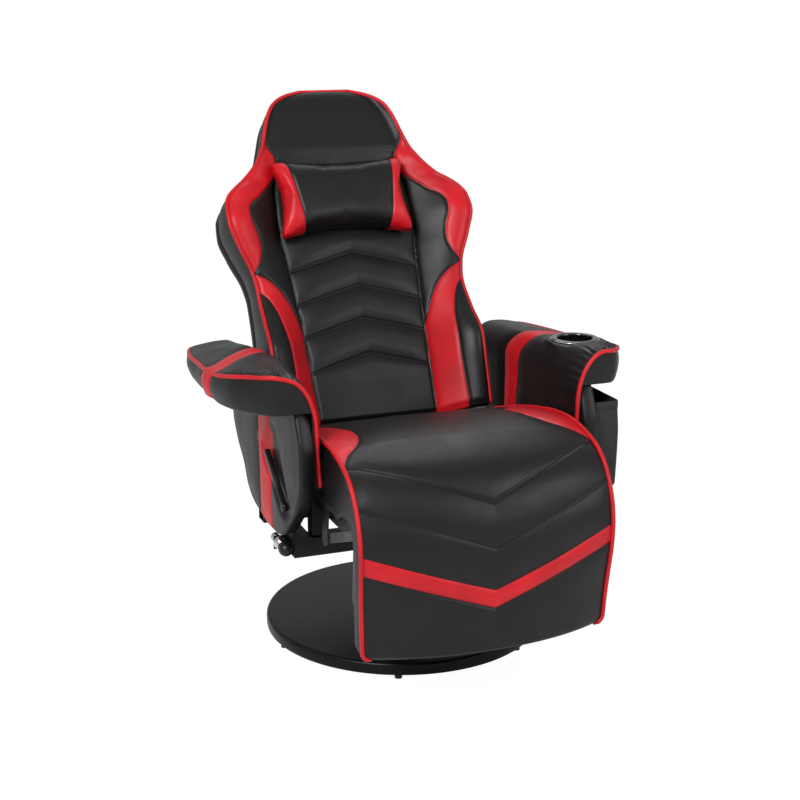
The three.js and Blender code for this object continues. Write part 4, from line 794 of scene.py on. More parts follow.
def back_face(x, height):
    """How far the padded face stands forward of the plane of the back."""
    half, seam = half_width(height), panel_half(height)
    across = np.clip((np.abs(x) - seam) / np.maximum(half - seam, 1), 0, 1)
    inside = np.clip(np.abs(x) / seam, 0, 1)
    head = smoothstep(height, *HEAD_START)
    rise = edge_rise(height) * (np.sin(across * math.pi / 2) ** 1.25 * (1 - head) + head * across**2)
    round_puff = BOLSTER_PUFF * np.clip(1 - (2 * across - 1) ** 4, 0, 1) ** 0.5
    to_top = np.clip((BACK_HEIGHT + 1 - height) / HEAD_ROUND, 0, 1)
    head_puff = HEAD_PUFF * np.sqrt(np.clip(1 - (np.abs(x) / half) ** 4, 0, 1))
    head_puff = head_puff * np.sqrt(1 - (1 - to_top) ** 2)
    channel = CHANNEL_PUFF - hollow(chevron_away(x, height), CHANNEL_PUFF, CHANNEL_REACH)
    channel = channel * smoothstep(height, *CHANNELS_START) * (1 - smoothstep(height, *CHANNELS_END))
    middle = PANEL_PUFF * (1 - inside**4) + channel * (1 - inside**6)
    body = middle + round_puff * (across > 0)
    return rise + body * (1 - head) + head_puff * head


WING_OUTLINE = np.vstack([rounded_path(WING_INNER[2:], 6), WING_INNER[:2]])
ARC_OUTLINE = np.vstack([rounded_path(ARC_EDGE[:11], 6), rounded_path(ARC_EDGE[11:], 6)])


def back_values(x, height):
    """The red panels, the nearest panel seam and the nearest rib at places of the back's face."""
    flat = np.stack([np.abs(x), height], axis=1)
    wing, arc = inside_outline(flat, WING_OUTLINE), inside_outline(flat, ARC_OUTLINE)
    panel = np.where(height < PANEL_TOP, np.abs(x) - panel_half(height), FAR_FROM_SEAM)
    seam = signed_nearest([wing, arc, panel])
    head_line = through(*np.transpose(HEAD_SEAM), np.abs(x))
    head = np.where(np.abs(x) < HEAD_SEAM[-1][0], height - head_line, FAR_FROM_SEAM)
    chevrons = signed_nearest(chevron_lines(x, height))
    chevrons = np.where(np.abs(x) <= panel_half(height), chevrons, FAR_FROM_SEAM)
    return np.maximum(wing, arc), seam, np.where(height > RIBS_TOP, head, chevrons)


def seam_groove(seam, rib):
    return hollow(np.minimum(np.abs(seam), np.abs(rib)), SEAM_SINK, SEAM_REACH)


def back_heights():
    even = np.linspace(0, BACK_HEIGHT, round(BACK_HEIGHT / BACK_STEP) + 1)
    near_top = BACK_HEIGHT - np.array([0.4, 1.2, 2.4, 6.5])
    return np.unique(np.concatenate([even, near_top]))


def back_cushion_rings():
    """The cushion's cuts from foot to top, with how red they are, their seams and their ribs."""
    share = np.linspace(-1, 1, BACK_COLUMNS)
    swell = BOXING_SWELL * np.sin(np.linspace(0, math.pi, BOXING_ROWS)[1:]) ** 0.8
    rings, reds, seams, ribs = [], [], [], []
    for height in back_heights():
        half = float(half_width(height))
        x = half * share
        tall = np.full(len(x), height)
        red, seam, rib = back_values(x, tall)
        edge = np.minimum(half - np.abs(x), BACK_RIM) / BACK_RIM
        face = back_face(x, tall) - seam_groove(seam, rib) * edge
        low = float(smoothstep(height, 0, FOOT_TUCK_HEIGHT))
        face = face - FOOT_TUCK * (1 - low) * np.sqrt(np.clip(1 - share**2, 0, 1))
        depths = np.linspace(float(edge_rise(height)), -BOXING_DEPTH, BOXING_ROWS)[1:]
        right = np.column_stack([half + swell, depths, np.full(len(depths), height)])
        left = (right * [-1, 1, 1])[::-1]
        flat = np.vstack([np.column_stack([x, face, tall]), right, left])
        rings.append(from_back(*flat.T))
        far = math.copysign(FAR_FROM_SEAM, seam[-1])
        for whole, values, rest in ((reds, red, NOT_RED), (seams, seam, far), (ribs, rib, FAR_FROM_SEAM)):
            whole.append(np.concatenate([values, np.full(2 * len(depths), rest)]))
    return np.array(rings), np.array(reds), np.array(seams), np.array(ribs)


def build_back():
    rings, reds, seams, ribs = back_cushion_rings()
    points = rings.reshape(-1, 3)
    side = np.abs(points[:, 0]) / BACK_WIDEST
    points[:, 1] -= UNEVEN["back"] * side * wrinkle(points * [1, 1, 0.6], 52, 7.0)
    values = {"red": reds.ravel(), "seam": seams.ravel(), "rib": ribs.ravel()}
    cushion = make_loft("back_cushion", points.reshape(rings.shape), RIBBED_COVER, values)
    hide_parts("back_centre_pad", "back_bolster_left", "back_bolster_right", "head_pad")
    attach(cushion, "back_rest")

    heights = np.linspace(0, BACK_HEIGHT, 220)
    right = np.column_stack([half_width(heights) + 1.5, edge_rise(heights) + 1.5, heights])
    left = (right * [-1, 1, 1])[::-1]
    path = from_back(*resample(np.vstack([right, left]), 4.0).T)
    piping = make_bead("back_piping", path, PIPING, RED_PIPING)
    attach(piping, "back_rest")
    build_back_cover()


def build_back_cover():
    """The rear cover behind the cushion, with a rounded rear edge and a sewn border."""
    turn = np.linspace(0, math.pi / 2, 12)
    rings, seams = [], []
    for height in back_heights():
        half = float(half_width(height))
        near_top = max(0.0, 1 - (BACK_HEIGHT - height) / SHELL_TOP)
        depth = BOXING_DEPTH + 0.5 + (SHELL_DEPTH - BOXING_DEPTH) * math.sqrt(max(0.02, 1 - near_top**2))
        rounding = min(SHELL_ROUND, depth - BOXING_DEPTH - 0.3)
        xs = half + 1.5 - rounding * (1 - np.cos(turn))
        ys = -(depth - rounding) - rounding * np.sin(turn)
        start = [[half + 0.5, -(BOXING_DEPTH + 0.5)]]
        middle = np.linspace(1, 0, 16)[1:] * xs[-1]
        crown = SHELL_CROWN * (1 - (middle / max(xs[-1], 1)) ** 2)
        back = np.column_stack([middle, ys[-1] - crown])
        right = np.vstack([start, np.column_stack([xs, ys]), back])
        flat = np.vstack([right, (right * [-1, 1])[::-1][1:]])
        border = np.abs(np.abs(flat[:, 0]) - (half - SHELL_BORDER))
        rings.append(from_back(flat[:, 0], flat[:, 1], np.full(len(flat), height)))
        seams.append(np.where(flat[:, 1] < -70, border, 50))
    rings = np.array(rings)
    points = rings.reshape(-1, 3)
    points[:, 1] += UNEVEN["rear"] * wrinkle(points, 60, 11.0)
    values = {"seam": np.array(seams).ravel()}
    cover = make_loft("back_cover", points.reshape(rings.shape), BLACK_HIDE, values)
    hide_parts("back_shell")
    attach(cover, "back_rest")


build_back()


# Head pillow: swollen by a cloth simulation, with dyed ends and its seams sewn afterwards
PILLOW_HALF = 168
PILLOW_SHIFT = -11
PILLOW_FOOT, PILLOW_TOP = 422, 623
PILLOW_THICKNESS = 72
PILLOW_SEAM_TOP, PILLOW_SEAM_FOOT = 129, 98
PILLOW_COLUMNS, PILLOW_ROWS = 61, 39
# How far the sides, the tips, the top's middle and the foot's middle draw in
SIDE_PINCH, TIP_PINCH, TOP_WAIST, FOOT_WAIST = 15, 9, 8, 22
# The hollow of the back's face that the pillow's rear follows
REAR_HOLLOW = 15
PILLOW_GROOVE, PILLOW_GROOVE_REACH = 3.0, 4.0
# The cloth's frames, the greatest move of a point in millimetres, and its mesh and air
CLOTH_FRAMES, CLOTH_CAP, CLOTH_VOXEL, CLOTH_PRESSURE = 20, 10, 5.0, 4.0


def apply_modifiers(piece):
    """Turns a piece's modifiers into its own mesh."""
    graph = bpy.context.evaluated_depsgraph_get()
    graph.update()
    mesh = bpy.data.meshes.new_from_object(piece.evaluated_get(graph), depsgraph=graph)
    old = piece.data
    piece.modifiers.clear()
    piece.data = mesh
    bpy.data.meshes.remove(old)


def chair_places(piece):
    """A piece's points in the chair's own millimetres."""
    points = np.empty(3 * len(piece.data.vertices))
    piece.data.vertices.foreach_get("co", points)
    return points.reshape(-1, 3) / MM - [0, SWIVEL_Y, 0]


def place_points(piece, points):
    piece.data.vertices.foreach_set("co", in_scene(points).ravel())
    piece.data.update()


def swell(piece):
    """Fills a padded piece with air as cloth, with every point kept within a cap of where it was."""
    remesh = piece.modifiers.new("even mesh", "REMESH")
    remesh.mode, remesh.voxel_size = "VOXEL", CLOTH_VOXEL * MM
    apply_modifiers(piece)
    start = chair_places(piece)
    cloth = piece.modifiers.new("filling", "CLOTH")
    cloth.settings.use_pressure = True
    cloth.settings.uniform_pressure_force = CLOTH_PRESSURE
    cloth.settings.effector_weights.gravity = 0
    scene = bpy.context.scene
    for number in range(1, CLOTH_FRAMES + 1):
        scene.frame_set(number)
    apply_modifiers(piece)
    scene.frame_set(1)
    moved = chair_places(piece) - start
    length = np.linalg.norm(moved, axis=1)
    kept = CLOTH_CAP * np.tanh(length / CLOTH_CAP) / np.maximum(length, 1e-6)
    place_points(piece, start + moved * kept[:, None])
    finer = piece.modifiers.new("finer", "SUBSURF")
    finer.levels = finer.render_levels = 1
    apply_modifiers(piece)


def pillow_start():
    """The pillow before it is filled: two sheets that meet in a rounded border."""
    columns, rows = PILLOW_COLUMNS, PILLOW_ROWS
    sideways = np.linspace(5 - PILLOW_HALF, PILLOW_HALF - 5, columns)
    x, share = np.meshgrid(sideways, np.linspace(0.02, 0.98, rows))
    across, up = np.abs(x) / PILLOW_HALF, 2 * share - 1
    border = np.sqrt(np.clip(1 - across**9, 0, 1)) * np.sqrt(np.clip(1 - np.abs(up) ** 4, 0, 1))
    pinch = SIDE_PINCH * across**2 * (1 - up**2) + TIP_PINCH * across**2 * up**12
    middle, tip = 1 - across**2, 5 * across**10
    top, foot = PILLOW_TOP - TOP_WAIST * middle - tip, PILLOW_FOOT + FOOT_WAIST * middle + tip
    height = foot + (top - foot) * share
    x = x * (1 - pinch / PILLOW_HALF)
    rear = 5 + REAR_HOLLOW * (x / PILLOW_HALF) ** 2
    front = rear + 16 + (PILLOW_THICKNESS - 36) * border
    points = np.vstack([from_back(x, forward, height).reshape(-1, 3) for forward in (front, rear)])
    faces = []
    for base in (0, columns * rows):
        for row in range(rows - 1):
            for column in range(columns - 1):
                near = base + row * columns + column
                faces.append((near, near + 1, near + columns + 1, near + columns))
    rim = list(range(columns)) + [row * columns + columns - 1 for row in range(1, rows)]
    rim += [(rows - 1) * columns + column for column in reversed(range(columns - 1))]
    rim += [row * columns for row in reversed(range(1, rows - 1))]
    other = columns * rows
    for here, following in zip(rim, rim[1:] + rim[:1]):
        faces.append((here, following, following + other, here + other))
    return points, faces


def to_back(points):
    """Across, forward and height in the leaning frame of the back."""
    y, z = points[:, 1] - BACK_FOOT[0], points[:, 2] - BACK_FOOT[1]
    height = y * math.sin(LEAN) + z * math.cos(LEAN)
    forward = -y * math.cos(LEAN) + z * math.sin(LEAN)
    return points[:, 0], forward, height


def build_pillow():
    pillow = make_mesh("pillow_cushion", *pillow_start(), COVER)
    swell(pillow)
    places = chair_places(pillow)
    x, forward, height = to_back(places)
    rear = 4.4 + REAR_HOLLOW * (x / PILLOW_HALF) ** 2
    share = np.clip((height - PILLOW_FOOT) / (PILLOW_TOP - PILLOW_FOOT), 0, 1)
    side = np.abs(x) - (PILLOW_SEAM_FOOT + (PILLOW_SEAM_TOP - PILLOW_SEAM_FOOT) * share)
    front = smoothstep(forward - rear, 14, 30)
    groove = hollow(side, PILLOW_GROOVE, PILLOW_GROOVE_REACH) * front
    crease = UNEVEN["pillow"] * wrinkle(places * [1, 1, 0.7], 40, 5.0) * front
    forward = np.maximum(forward - groove + crease, rear)
    height = np.clip(height, PILLOW_FOOT - 6, PILLOW_TOP + 6)
    place_points(pillow, from_back(x + PILLOW_SHIFT, forward, height))
    add_values(pillow, red=side, seam=side)
    pillow.data.materials.clear()
    pillow.data.materials.append(COVER)
    shade_smooth(pillow)
    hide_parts("head_pillow")
    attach(pillow, "pillow")
    dress("pillow_strap", POUCH_FABRIC)


build_pillow()


# Arms: a padded top that curls down inside the chair, over a padded D-shaped panel
ARM_INNER, ARM_OUTER = 281, 441
ARM_FRONT, ARM_REAR = -272, 262
ARM_EDGE_Z, ARM_UNDER_Z = 654, 586
ARM_SLOPE, ARM_UNDER_SLOPE = math.tan(math.radians(4.9)), math.tan(math.radians(2.0))
ARM_CROWN = 9
ARM_DROP = 154
ARM_INNER_LEAN = 6
ARM_DROP_OUTER = 8.5
ARM_ROUND = 6
# Share of the length, of the greatest width, and of the inner side's drop
ARM_PLAN_SHARES = np.array([
    (0, 0.44, 1), (0.0075, 0.52, 1), (0.036, 0.62, 1), (0.09, 0.755, 1), (0.169, 0.893, 1),
    (0.294, 0.975, 1), (0.412, 1, 1), (0.56, 0.956, 1), (0.762, 0.913, 1), (0.912, 0.82, 0.8),
    (0.978, 0.74, 0.3), (1, 0.66, 0.1),
])
ARM_STEPS = {"inner": 34, "corner": 32, "top": 40, "turn": 6, "boxing": 16, "tuck": 6, "under": 9, "drop": 14}
# Width and height of the rounded inner corner at the front, and behind the share where it stops changing
ARM_CORNER_FRONT, ARM_CORNER_REAR = (64, 110), (44, 60)
CORNER_CHANGE = 0.24
ARM_TUCK = 9
ARM_BOXING_SWELL = 5
ARM_PUFF, ARM_PUFF_REACH = 2.4, 18
ARM_GROOVE, ARM_GROOVE_REACH = 2.0, 2.8
ARM_END_RIM = 6
# How much the right arm stands up, how far the left one has sat down, and how far its corner draws in
ARM_FULLER, CORNER_FULLER = 15, 8
FRONT_SAG, REAR_SAG, CORNER_DRAW = 2, 15, 9
GATHER_DEPTH, GATHER_PITCH = 2.3, 13.5
GATHER_LENGTH, GATHER_CHANGE = 44, 16
CUP_CENTRE = (350, -122)
CUP_HOLE = 43.5
CUP_LEVEL_Z = 646.6
CUP_WALL_FOOT_Z = 592
ARM_TOP_Z = 630
# The red band by its place round the cut: 0 at the inner side's foot, 1 at the pad's outer foot, and y there
ARM_BAND_FRONT = [
    (0, 23), (0.30, 9), (0.40, -10), (0.50, -24), (0.64, -52),
    (0.78, -92), (0.82, -95), (0.86, -88), (1, -84),
]
ARM_BAND_REAR = [
    (0, 76), (0.30, 84), (0.40, 68), (0.50, 48), (0.64, 14),
    (0.78, -26), (0.82, -28), (0.86, -16), (1, -4),
]


def arm_cut(along):
    """One cut across an arm: places (from the inner face, height), from the inner foot over the top."""
    width = float(through(ARM_PLAN_SHARES[:, 0], ARM_PLAN_SHARES[:, 1], along)) * (ARM_OUTER - ARM_INNER)
    drop = float(through(ARM_PLAN_SHARES[:, 0], ARM_PLAN_SHARES[:, 2], along)) * ARM_DROP
    y = ARM_FRONT + along * (ARM_REAR - ARM_FRONT)
    edge = ARM_EDGE_Z - (y - ARM_FRONT) * ARM_SLOPE
    under = ARM_UNDER_Z - (y - ARM_FRONT) * ARM_UNDER_SLOPE
    foot = under - drop
    crown = ARM_CROWN * (1 - along / 2) * float(smoothstep(along, -0.02, 0.1))
    rear = min(1.0, along / CORNER_CHANGE)
    corner_x, corner_z = ((1 - rear) * f + rear * r for f, r in zip(ARM_CORNER_FRONT, ARM_CORNER_REAR))
    corner_x, corner_z = min(corner_x, 0.9 * width), min(corner_z, edge - foot - 16)
    knee = edge + crown - corner_z
    lean = np.linspace(1, 0, ARM_STEPS["inner"])
    sway = -ARM_INNER_LEAN * lean**2 * min(1, drop / ARM_DROP)
    inner = np.column_stack([sway, knee - (knee - foot) * lean])
    turn = np.linspace(0, math.pi / 2, ARM_STEPS["corner"])[1:]
    corner = np.column_stack([corner_x * (1 - np.cos(turn)), knee + corner_z * np.sin(turn)])
    rounding = ARM_ROUND * (0.3 + 0.7 * float(smoothstep(along, 0, 0.06)))
    x = np.linspace(corner_x, width - rounding, ARM_STEPS["top"])[1:]
    fall = np.clip((x - corner_x) / (width - corner_x), 0, 1)
    top = np.column_stack([x, edge + crown * (1 - fall**2)])
    turn = np.linspace(0, math.pi / 2, ARM_STEPS["turn"])[1:]
    end = top[-1, 1]
    shoulder = np.column_stack([width - rounding * (1 - np.sin(turn)), end - rounding * (1 - np.cos(turn))])
    fall = np.linspace(0, 1, ARM_STEPS["boxing"])[1:]
    side_z = end - rounding - (end - rounding - under - ARM_TUCK) * fall
    boxing = np.column_stack([width + ARM_BOXING_SWELL * np.sin(math.pi * fall) ** 0.8, side_z])
    turn = np.linspace(0, math.pi / 2, ARM_STEPS["tuck"])[1:]
    tuck = np.column_stack([width - ARM_TUCK * (1 - np.cos(turn)), under + ARM_TUCK * (1 - np.sin(turn))])
    x = np.linspace(width - ARM_TUCK, ARM_DROP_OUTER + 4, ARM_STEPS["under"])[1:]
    beneath = np.column_stack([x, np.full(len(x), under)])
    z = np.linspace(under - 3, foot + 4, ARM_STEPS["drop"])
    outer = np.column_stack([np.full(len(z), ARM_DROP_OUTER), z])
    hem = [(ARM_DROP_OUTER - 4, foot), (-4.0, foot - 0.5)]
    return np.vstack([inner, corner, top, shoulder, boxing, tuck, beneath, outer, hem])


ARM_COUNTS = np.cumsum([0] + [count - (name not in ("inner", "drop")) for name, count in ARM_STEPS.items()])
ARM_TOP_EDGE = ARM_COUNTS[3] + 3
ARM_PAD_FOOT = ARM_COUNTS[6]


def arm_band(around, y):
    """How far a place of the arm lies inside its slanted red band."""
    front = through(*np.transpose(ARM_BAND_FRONT), around)
    rear = through(*np.transpose(ARM_BAND_REAR), around)
    return np.minimum(y - front, rear - y) * 0.85


def outward_of(cut):
    """The outward direction at each place of a closed cut."""
    along = np.roll(cut, -1, axis=0) - np.roll(cut, 1, axis=0)
    along /= np.maximum(np.linalg.norm(along, axis=1), 1e-6)[:, None]
    return np.column_stack([-along[:, 1], along[:, 0]])


def settle(rings, name):
    """The right arm stands fuller on its inner side, and the left one has sat down on its outer side."""
    across, y = np.abs(rings[..., 0]) - ARM_INNER, rings[..., 1]
    upper = smoothstep(rings[..., 2], 585, 630)
    if name == "right":
        inner = smoothstep(across, -6, 22) * (1 - smoothstep(across, 50, 154))
        middle = smoothstep(y, -245, -70) * (1 - 0.55 * smoothstep(y, 20, 220))
        outer_front = smoothstep(across, 56, 84) * (1 - smoothstep(y, -245, -105))
        rings[..., 2] += (ARM_FULLER * inner * middle + CORNER_FULLER * outer_front) * upper
    else:
        sag = FRONT_SAG + (REAR_SAG - FRONT_SAG) * smoothstep(y, -262, -60)
        rings[..., 2] -= sag * smoothstep(across, 60, 155) * upper
        rings[..., 0] -= CORNER_DRAW * smoothstep(across, 60, 150) * (1 - smoothstep(y, -230, -60))
    return rings


def arm_gathers(rings, edge_line):
    """Small folds that stand square to the front piping, where the cover's fullness is sewn in."""
    spacing = 2.0
    edge = resample(edge_line, spacing)[:260]
    heights = np.zeros(rings.shape[:2])
    near = rings[:, 0, 1] < ARM_FRONT + 190
    places = rings[near][:, : ARM_TOP_EDGE + 1].reshape(-1, 3)
    apart = np.linalg.norm(places[:, None, :] - edge[None], axis=2)
    away, run = apart.min(axis=1), apart.argmin(axis=1) * spacing
    length = GATHER_LENGTH + GATHER_CHANGE * np.sin(run / 9)
    folds = np.sin(run * 2 * math.pi / GATHER_PITCH + 1.6 * np.sin(run / 19))
    gathered = smoothstep(run, 80, 130) * (1 - smoothstep(run, 390, 450)) * smoothstep(away, 1, 9)
    folds = folds * gathered * hollow(away, GATHER_DEPTH, length)
    heights[near, : ARM_TOP_EDGE + 1] = folds.reshape(near.sum(), -1)
    return heights


def arm_rings(sign):
    """The arm's cuts from front to rear, with the way they face, how red they are and their seams."""
    alongs = np.unique(np.concatenate([np.linspace(0, 1, 140), [0.0018, 0.0036, 0.992, 0.996]]))
    rings, facings, reds, seams = [], [], [], []
    for along in alongs:
        cut = arm_cut(along)
        index = np.arange(len(cut))
        y = ARM_FRONT + along * (ARM_REAR - ARM_FRONT)
        end = min(y - ARM_FRONT, ARM_REAR - y)
        red = np.where(index <= ARM_PAD_FOOT, arm_band(np.clip(index / ARM_PAD_FOOT, 0, 1), y), NOT_RED)
        lift = ARM_PUFF - hollow(np.clip(red, -40, 40), ARM_PUFF, ARM_PUFF_REACH)
        lift = (lift - hollow(red, ARM_GROOVE, ARM_GROOVE_REACH)) * (index < ARM_PAD_FOOT) * min(1, end / 12)
        facing = outward_of(cut)
        cut = cut + facing * lift[:, None]
        if y > 0:
            centre = cut.mean(axis=0)
            reach = np.linalg.norm(cut - centre, axis=1)[:, None]
            tuck = rounded_drop(end, ARM_END_RIM, ARM_END_RIM) * 1.6
            cut = cut + (centre - cut) * np.minimum(tuck / np.maximum(reach, 1), 0.5)
        rings.append(np.column_stack([sign * (ARM_INNER + cut[:, 0]), np.full(len(cut), y), cut[:, 1]]))
        facings.append(np.column_stack([sign * facing[:, 0], np.zeros(len(cut)), facing[:, 1]]))
        reds.append(red)
        seams.append(np.where(index < ARM_PAD_FOOT, red, -FAR_FROM_SEAM))
    return np.array(rings), np.array(facings), np.concatenate(reds), np.concatenate(seams)


def build_arm(name, sign):
    rings, facings, reds, seams = arm_rings(sign)
    rings = settle(rings, name)
    edge_line = np.vstack([rings[0][: ARM_TOP_EDGE + 1], rings[1:, ARM_TOP_EDGE]])
    rings += facings * arm_gathers(rings, edge_line)[..., None]
    points = rings.reshape(-1, 3)
    soft = UNEVEN["arm"] * wrinkle(points * [1, 0.8, 1], 48, 13.0 + sign)
    from_cup = np.hypot(points[:, 0] - sign * CUP_CENTRE[0], points[:, 1] - CUP_CENTRE[1])
    on_top = points[:, 2] > ARM_TOP_Z
    points[:, 2] += np.where(on_top, soft, 0)
    if name == "left":
        level = np.where(on_top, 1 - smoothstep(from_cup, 56, 82), 0)
        points[:, 2] += level * (CUP_LEVEL_Z - points[:, 2])
    points[:, 0] += sign * np.where(on_top, 0, soft * 0.5 * (points[:, 2] > 596))
    arm = make_loft(f"arm_pad_{name}", points.reshape(rings.shape), COVER, {"red": reds, "seam": seams})
    keep_corners(arm, 62)
    if name == "left":
        open_for_cup(arm)
    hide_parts(f"arm_cushion_{name}")
    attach(arm, "seat_frame")

    line = resample(edge_line + [0, -1.2, 0.6], 3.0)
    line = np.column_stack([np.convolve(np.pad(c, 3, "edge"), np.ones(7) / 7, "valid") for c in line.T])
    piping = make_bead(f"arm_piping_{name}", line, PIPING, RED_PIPING)
    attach(piping, "seat_frame")


def open_for_cup(arm):
    """Cuts the round opening of the cup holder into the arm and lines it downwards."""
    shell = bmesh.new()
    shell.from_mesh(arm.data)
    centre = Vector(in_scene((*CUP_CENTRE, 0)))

    def off_axis(vert):
        return math.hypot(vert.co.x - centre.x, vert.co.y - centre.y) / MM

    def in_hole(vert):
        return off_axis(vert) < CUP_HOLE + 1.5 and vert.co.z > ARM_TOP_Z * MM

    gone = [face for face in shell.faces if all(in_hole(vert) for vert in face.verts)]
    bmesh.ops.delete(shell, geom=gone, context="FACES")
    loose = [v for v in shell.verts if not v.link_faces]
    bmesh.ops.delete(shell, geom=loose, context="VERTS")
    rim = [e for e in shell.edges if e.is_boundary]
    for vert in {v for e in rim for v in e.verts}:
        scale = CUP_HOLE / max(off_axis(vert), 1e-3)
        vert.co.x = centre.x + (vert.co.x - centre.x) * scale
        vert.co.y = centre.y + (vert.co.y - centre.y) * scale
    wall = bmesh.ops.extrude_edge_only(shell, edges=rim)["geom"]
    for vert in [g for g in wall if isinstance(g, bmesh.types.BMVert)]:
        vert.co.z = CUP_WALL_FOOT_Z * MM
    foot = [g for g in wall if isinstance(g, bmesh.types.BMEdge) and g.is_boundary]
    bmesh.ops.contextual_create(shell, geom=foot)
    bmesh.ops.recalc_face_normals(shell, faces=shell.faces)
    shell.to_mesh(arm.data)
    shell.free()


for arm_name, arm_sign in SIDES.items():
    build_arm(arm_name, arm_sign)


# Arm panels: padded D shapes below the arms, with the red band running down them
PANEL_FRONT, PANEL_REAR = -292, 215
PANEL_FOOT_Z = 290
PANEL_INNER, PANEL_OUTER = 290, 322
PANEL_ROUND = 7
PANEL_SWELL = 3.0
# Share of the panel's length and of its height, round its edge
PANEL_EDGE_SHARES = [
    (0.067, 1), (0.03, 0.88), (0.004, 0.734), (0.002, 0.569), (0.043, 0.397), (0.162, 0.183), (0.29, 0.024),
    (0.37, 0.003), (0.458, 0), (0.568, 0.024), (0.675, 0.055), (0.765, 0.138), (0.834, 0.303), (0.927, 0.452),
    (0.984, 0.607), (1, 0.75), (1, 1),
]
PANEL_MIDDLE = (-40, 460)
LEVER_PIVOT = (-186, 372)
LEVER_LEAN = math.radians(34)
LEVER_LENGTH = 142
LEVER_SWING = math.radians(25)
DISH_DEPTH, DISH_REACH = 8, (15, 40)
PANEL_BAND_FRONT, PANEL_BAND_SLANT, PANEL_BAND_WIDTH = -90, 0.04, 86
PANEL_PUFF_START, PANEL_PUFF_REACH = 8, 26
PANEL_INSETS = (15, 19, 25, 33, 43, 55, 68, 82, 96)
PANEL_CENTRE_RINGS, PANEL_CENTRE_DEPTH = 12, 120
# Rings of the flat rear side, as numbers of the rings of the front, and how far they stand off it
PANEL_REAR_RINGS = ((3, 4), (5, 1), (8, 0), (12, 0))


def panel_outline():
    places = []
    for along, up in PANEL_EDGE_SHARES:
        y = PANEL_FRONT + along * (PANEL_REAR - PANEL_FRONT)
        top = ARM_UNDER_Z - (y - ARM_FRONT) * ARM_UNDER_SLOPE - 0.8
        places.append((y, PANEL_FOOT_Z + up * (top - PANEL_FOOT_Z)))
    curved = rounded_path(places, 4.0)
    straight = resample([places[-1], places[0]], 4.0)[1:-1]
    return np.vstack([curved, straight])


def lever_sweep(places):
    """How far a flat place lies outside the ground that the release lever sweeps over."""
    best = np.full(len(places), np.inf)
    for turn in np.linspace(0, LEVER_SWING, 6):
        reach = np.array([math.cos(LEVER_LEAN + turn), math.sin(LEVER_LEAN + turn)]) * LEVER_LENGTH
        line = np.array([LEVER_PIVOT, LEVER_PIVOT + reach])
        best = np.minimum(best, distance_to_line(places, line))
    return best


def panel_relief(name, ring, red, depth):
    """How far a ring of the panel's face stands out, which is flat where something lies on it."""
    edge = min(depth / PANEL_ROUND, 1)
    puff = PANEL_SWELL - hollow(max(0.0, depth - PANEL_PUFF_START), PANEL_SWELL, PANEL_PUFF_REACH)
    relief = puff - hollow(red, puff, 18) - hollow(red, 1.6, 3.6) * edge
    if name == "right":
        dish = 1 - smoothstep(lever_sweep(ring), *DISH_REACH)
        return relief * (1 - dish) - DISH_DEPTH * dish * edge
    pouch = smoothstep(ring[:, 0], -290, -262) * (1 - smoothstep(ring[:, 0], -46, -18))
    return relief * (1 - pouch) - 0.4 * pouch


def build_panel(name, sign):
    outline = panel_outline()
    middle = np.array(PANEL_MIDDLE, float)
    spokes = outline - middle
    reach = np.linalg.norm(spokes, axis=1)[:, None]
    rounded = PANEL_ROUND * (1 - np.cos(np.linspace(0, math.pi / 2, 7)))
    depths = [*rounded, *PANEL_INSETS]
    flat_rings = [middle + spokes * (1 - inset / reach) for inset in depths]
    last = flat_rings[-1] - middle
    flat_rings += [middle + last * share for share in np.linspace(1, 0, PANEL_CENTRE_RINGS + 2)[1:-1]]
    depths += [PANEL_CENTRE_DEPTH] * PANEL_CENTRE_RINGS
    rings, reds, seams = [], [], []
    for depth, ring in zip(depths, flat_rings):
        front = PANEL_BAND_FRONT + PANEL_BAND_SLANT * (ring[:, 1] - PANEL_FOOT_Z)
        red = np.minimum(ring[:, 0] - front, front + PANEL_BAND_WIDTH - ring[:, 0])
        x = PANEL_OUTER - rounded_drop(depth, PANEL_ROUND, PANEL_ROUND) + panel_relief(name, ring, red, depth)
        rings.append(np.column_stack([sign * x, ring]))
        reds.append(red)
        seams.append(red)
    for number, stand_off in PANEL_REAR_RINGS:
        ring = flat_rings[number]
        rings.insert(0, np.column_stack([np.full(len(ring), sign * (PANEL_INNER + stand_off)), ring]))
        reds.insert(0, np.full(len(ring), NOT_RED))
        seams.insert(0, np.full(len(ring), -FAR_FROM_SEAM))
    values = {"red": np.concatenate(reds), "seam": np.concatenate(seams)}
    panel = make_loft(f"arm_side_{name}", np.array(rings), COVER, values)
    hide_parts(f"arm_panel_{name}")
    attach(panel, "seat_frame")


for panel_name, panel_sign in SIDES.items():
    build_panel(panel_name, panel_sign)


# Cup holder, pouch, release lever and swivel lock
CUP_LINE_RADIUS, CUP_LINE_Z, CUP_LINE_THICKNESS = 52.6, 648.2, 0.7


def build_cup():
    profile = [
        (0, 597), (37.4, 597), (40, 599), (40, 645.8), (50.5, 646.2), (52, 647), (52.3, 648.4),
        (51.4, 649.8), (49, 650.9), (44, 651.6), (41, 651.2), (39.2, 650.4), (38.2, 649), (38, 647),
        (38, 601), (36.5, 599.4), (0, 599.2),
    ]
    cup = make_turned("cup_insert", profile, GLOSS_BLACK, place=(*CUP_CENTRE, 0), corners=50)
    turn = np.linspace(0, 2 * math.pi, 13)
    radii, heights = (CUP_LINE_THICKNESS * wave(turn) for wave in (np.cos, np.sin))
    profile = np.column_stack([CUP_LINE_RADIUS + radii, CUP_LINE_Z + heights])
    line = make_turned("cup_outer_line", profile, CHROME, place=(*CUP_CENTRE, 0), corners=180)
    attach(line, "seat_frame")
    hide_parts("cup_holder")
    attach(cup, "seat_frame")


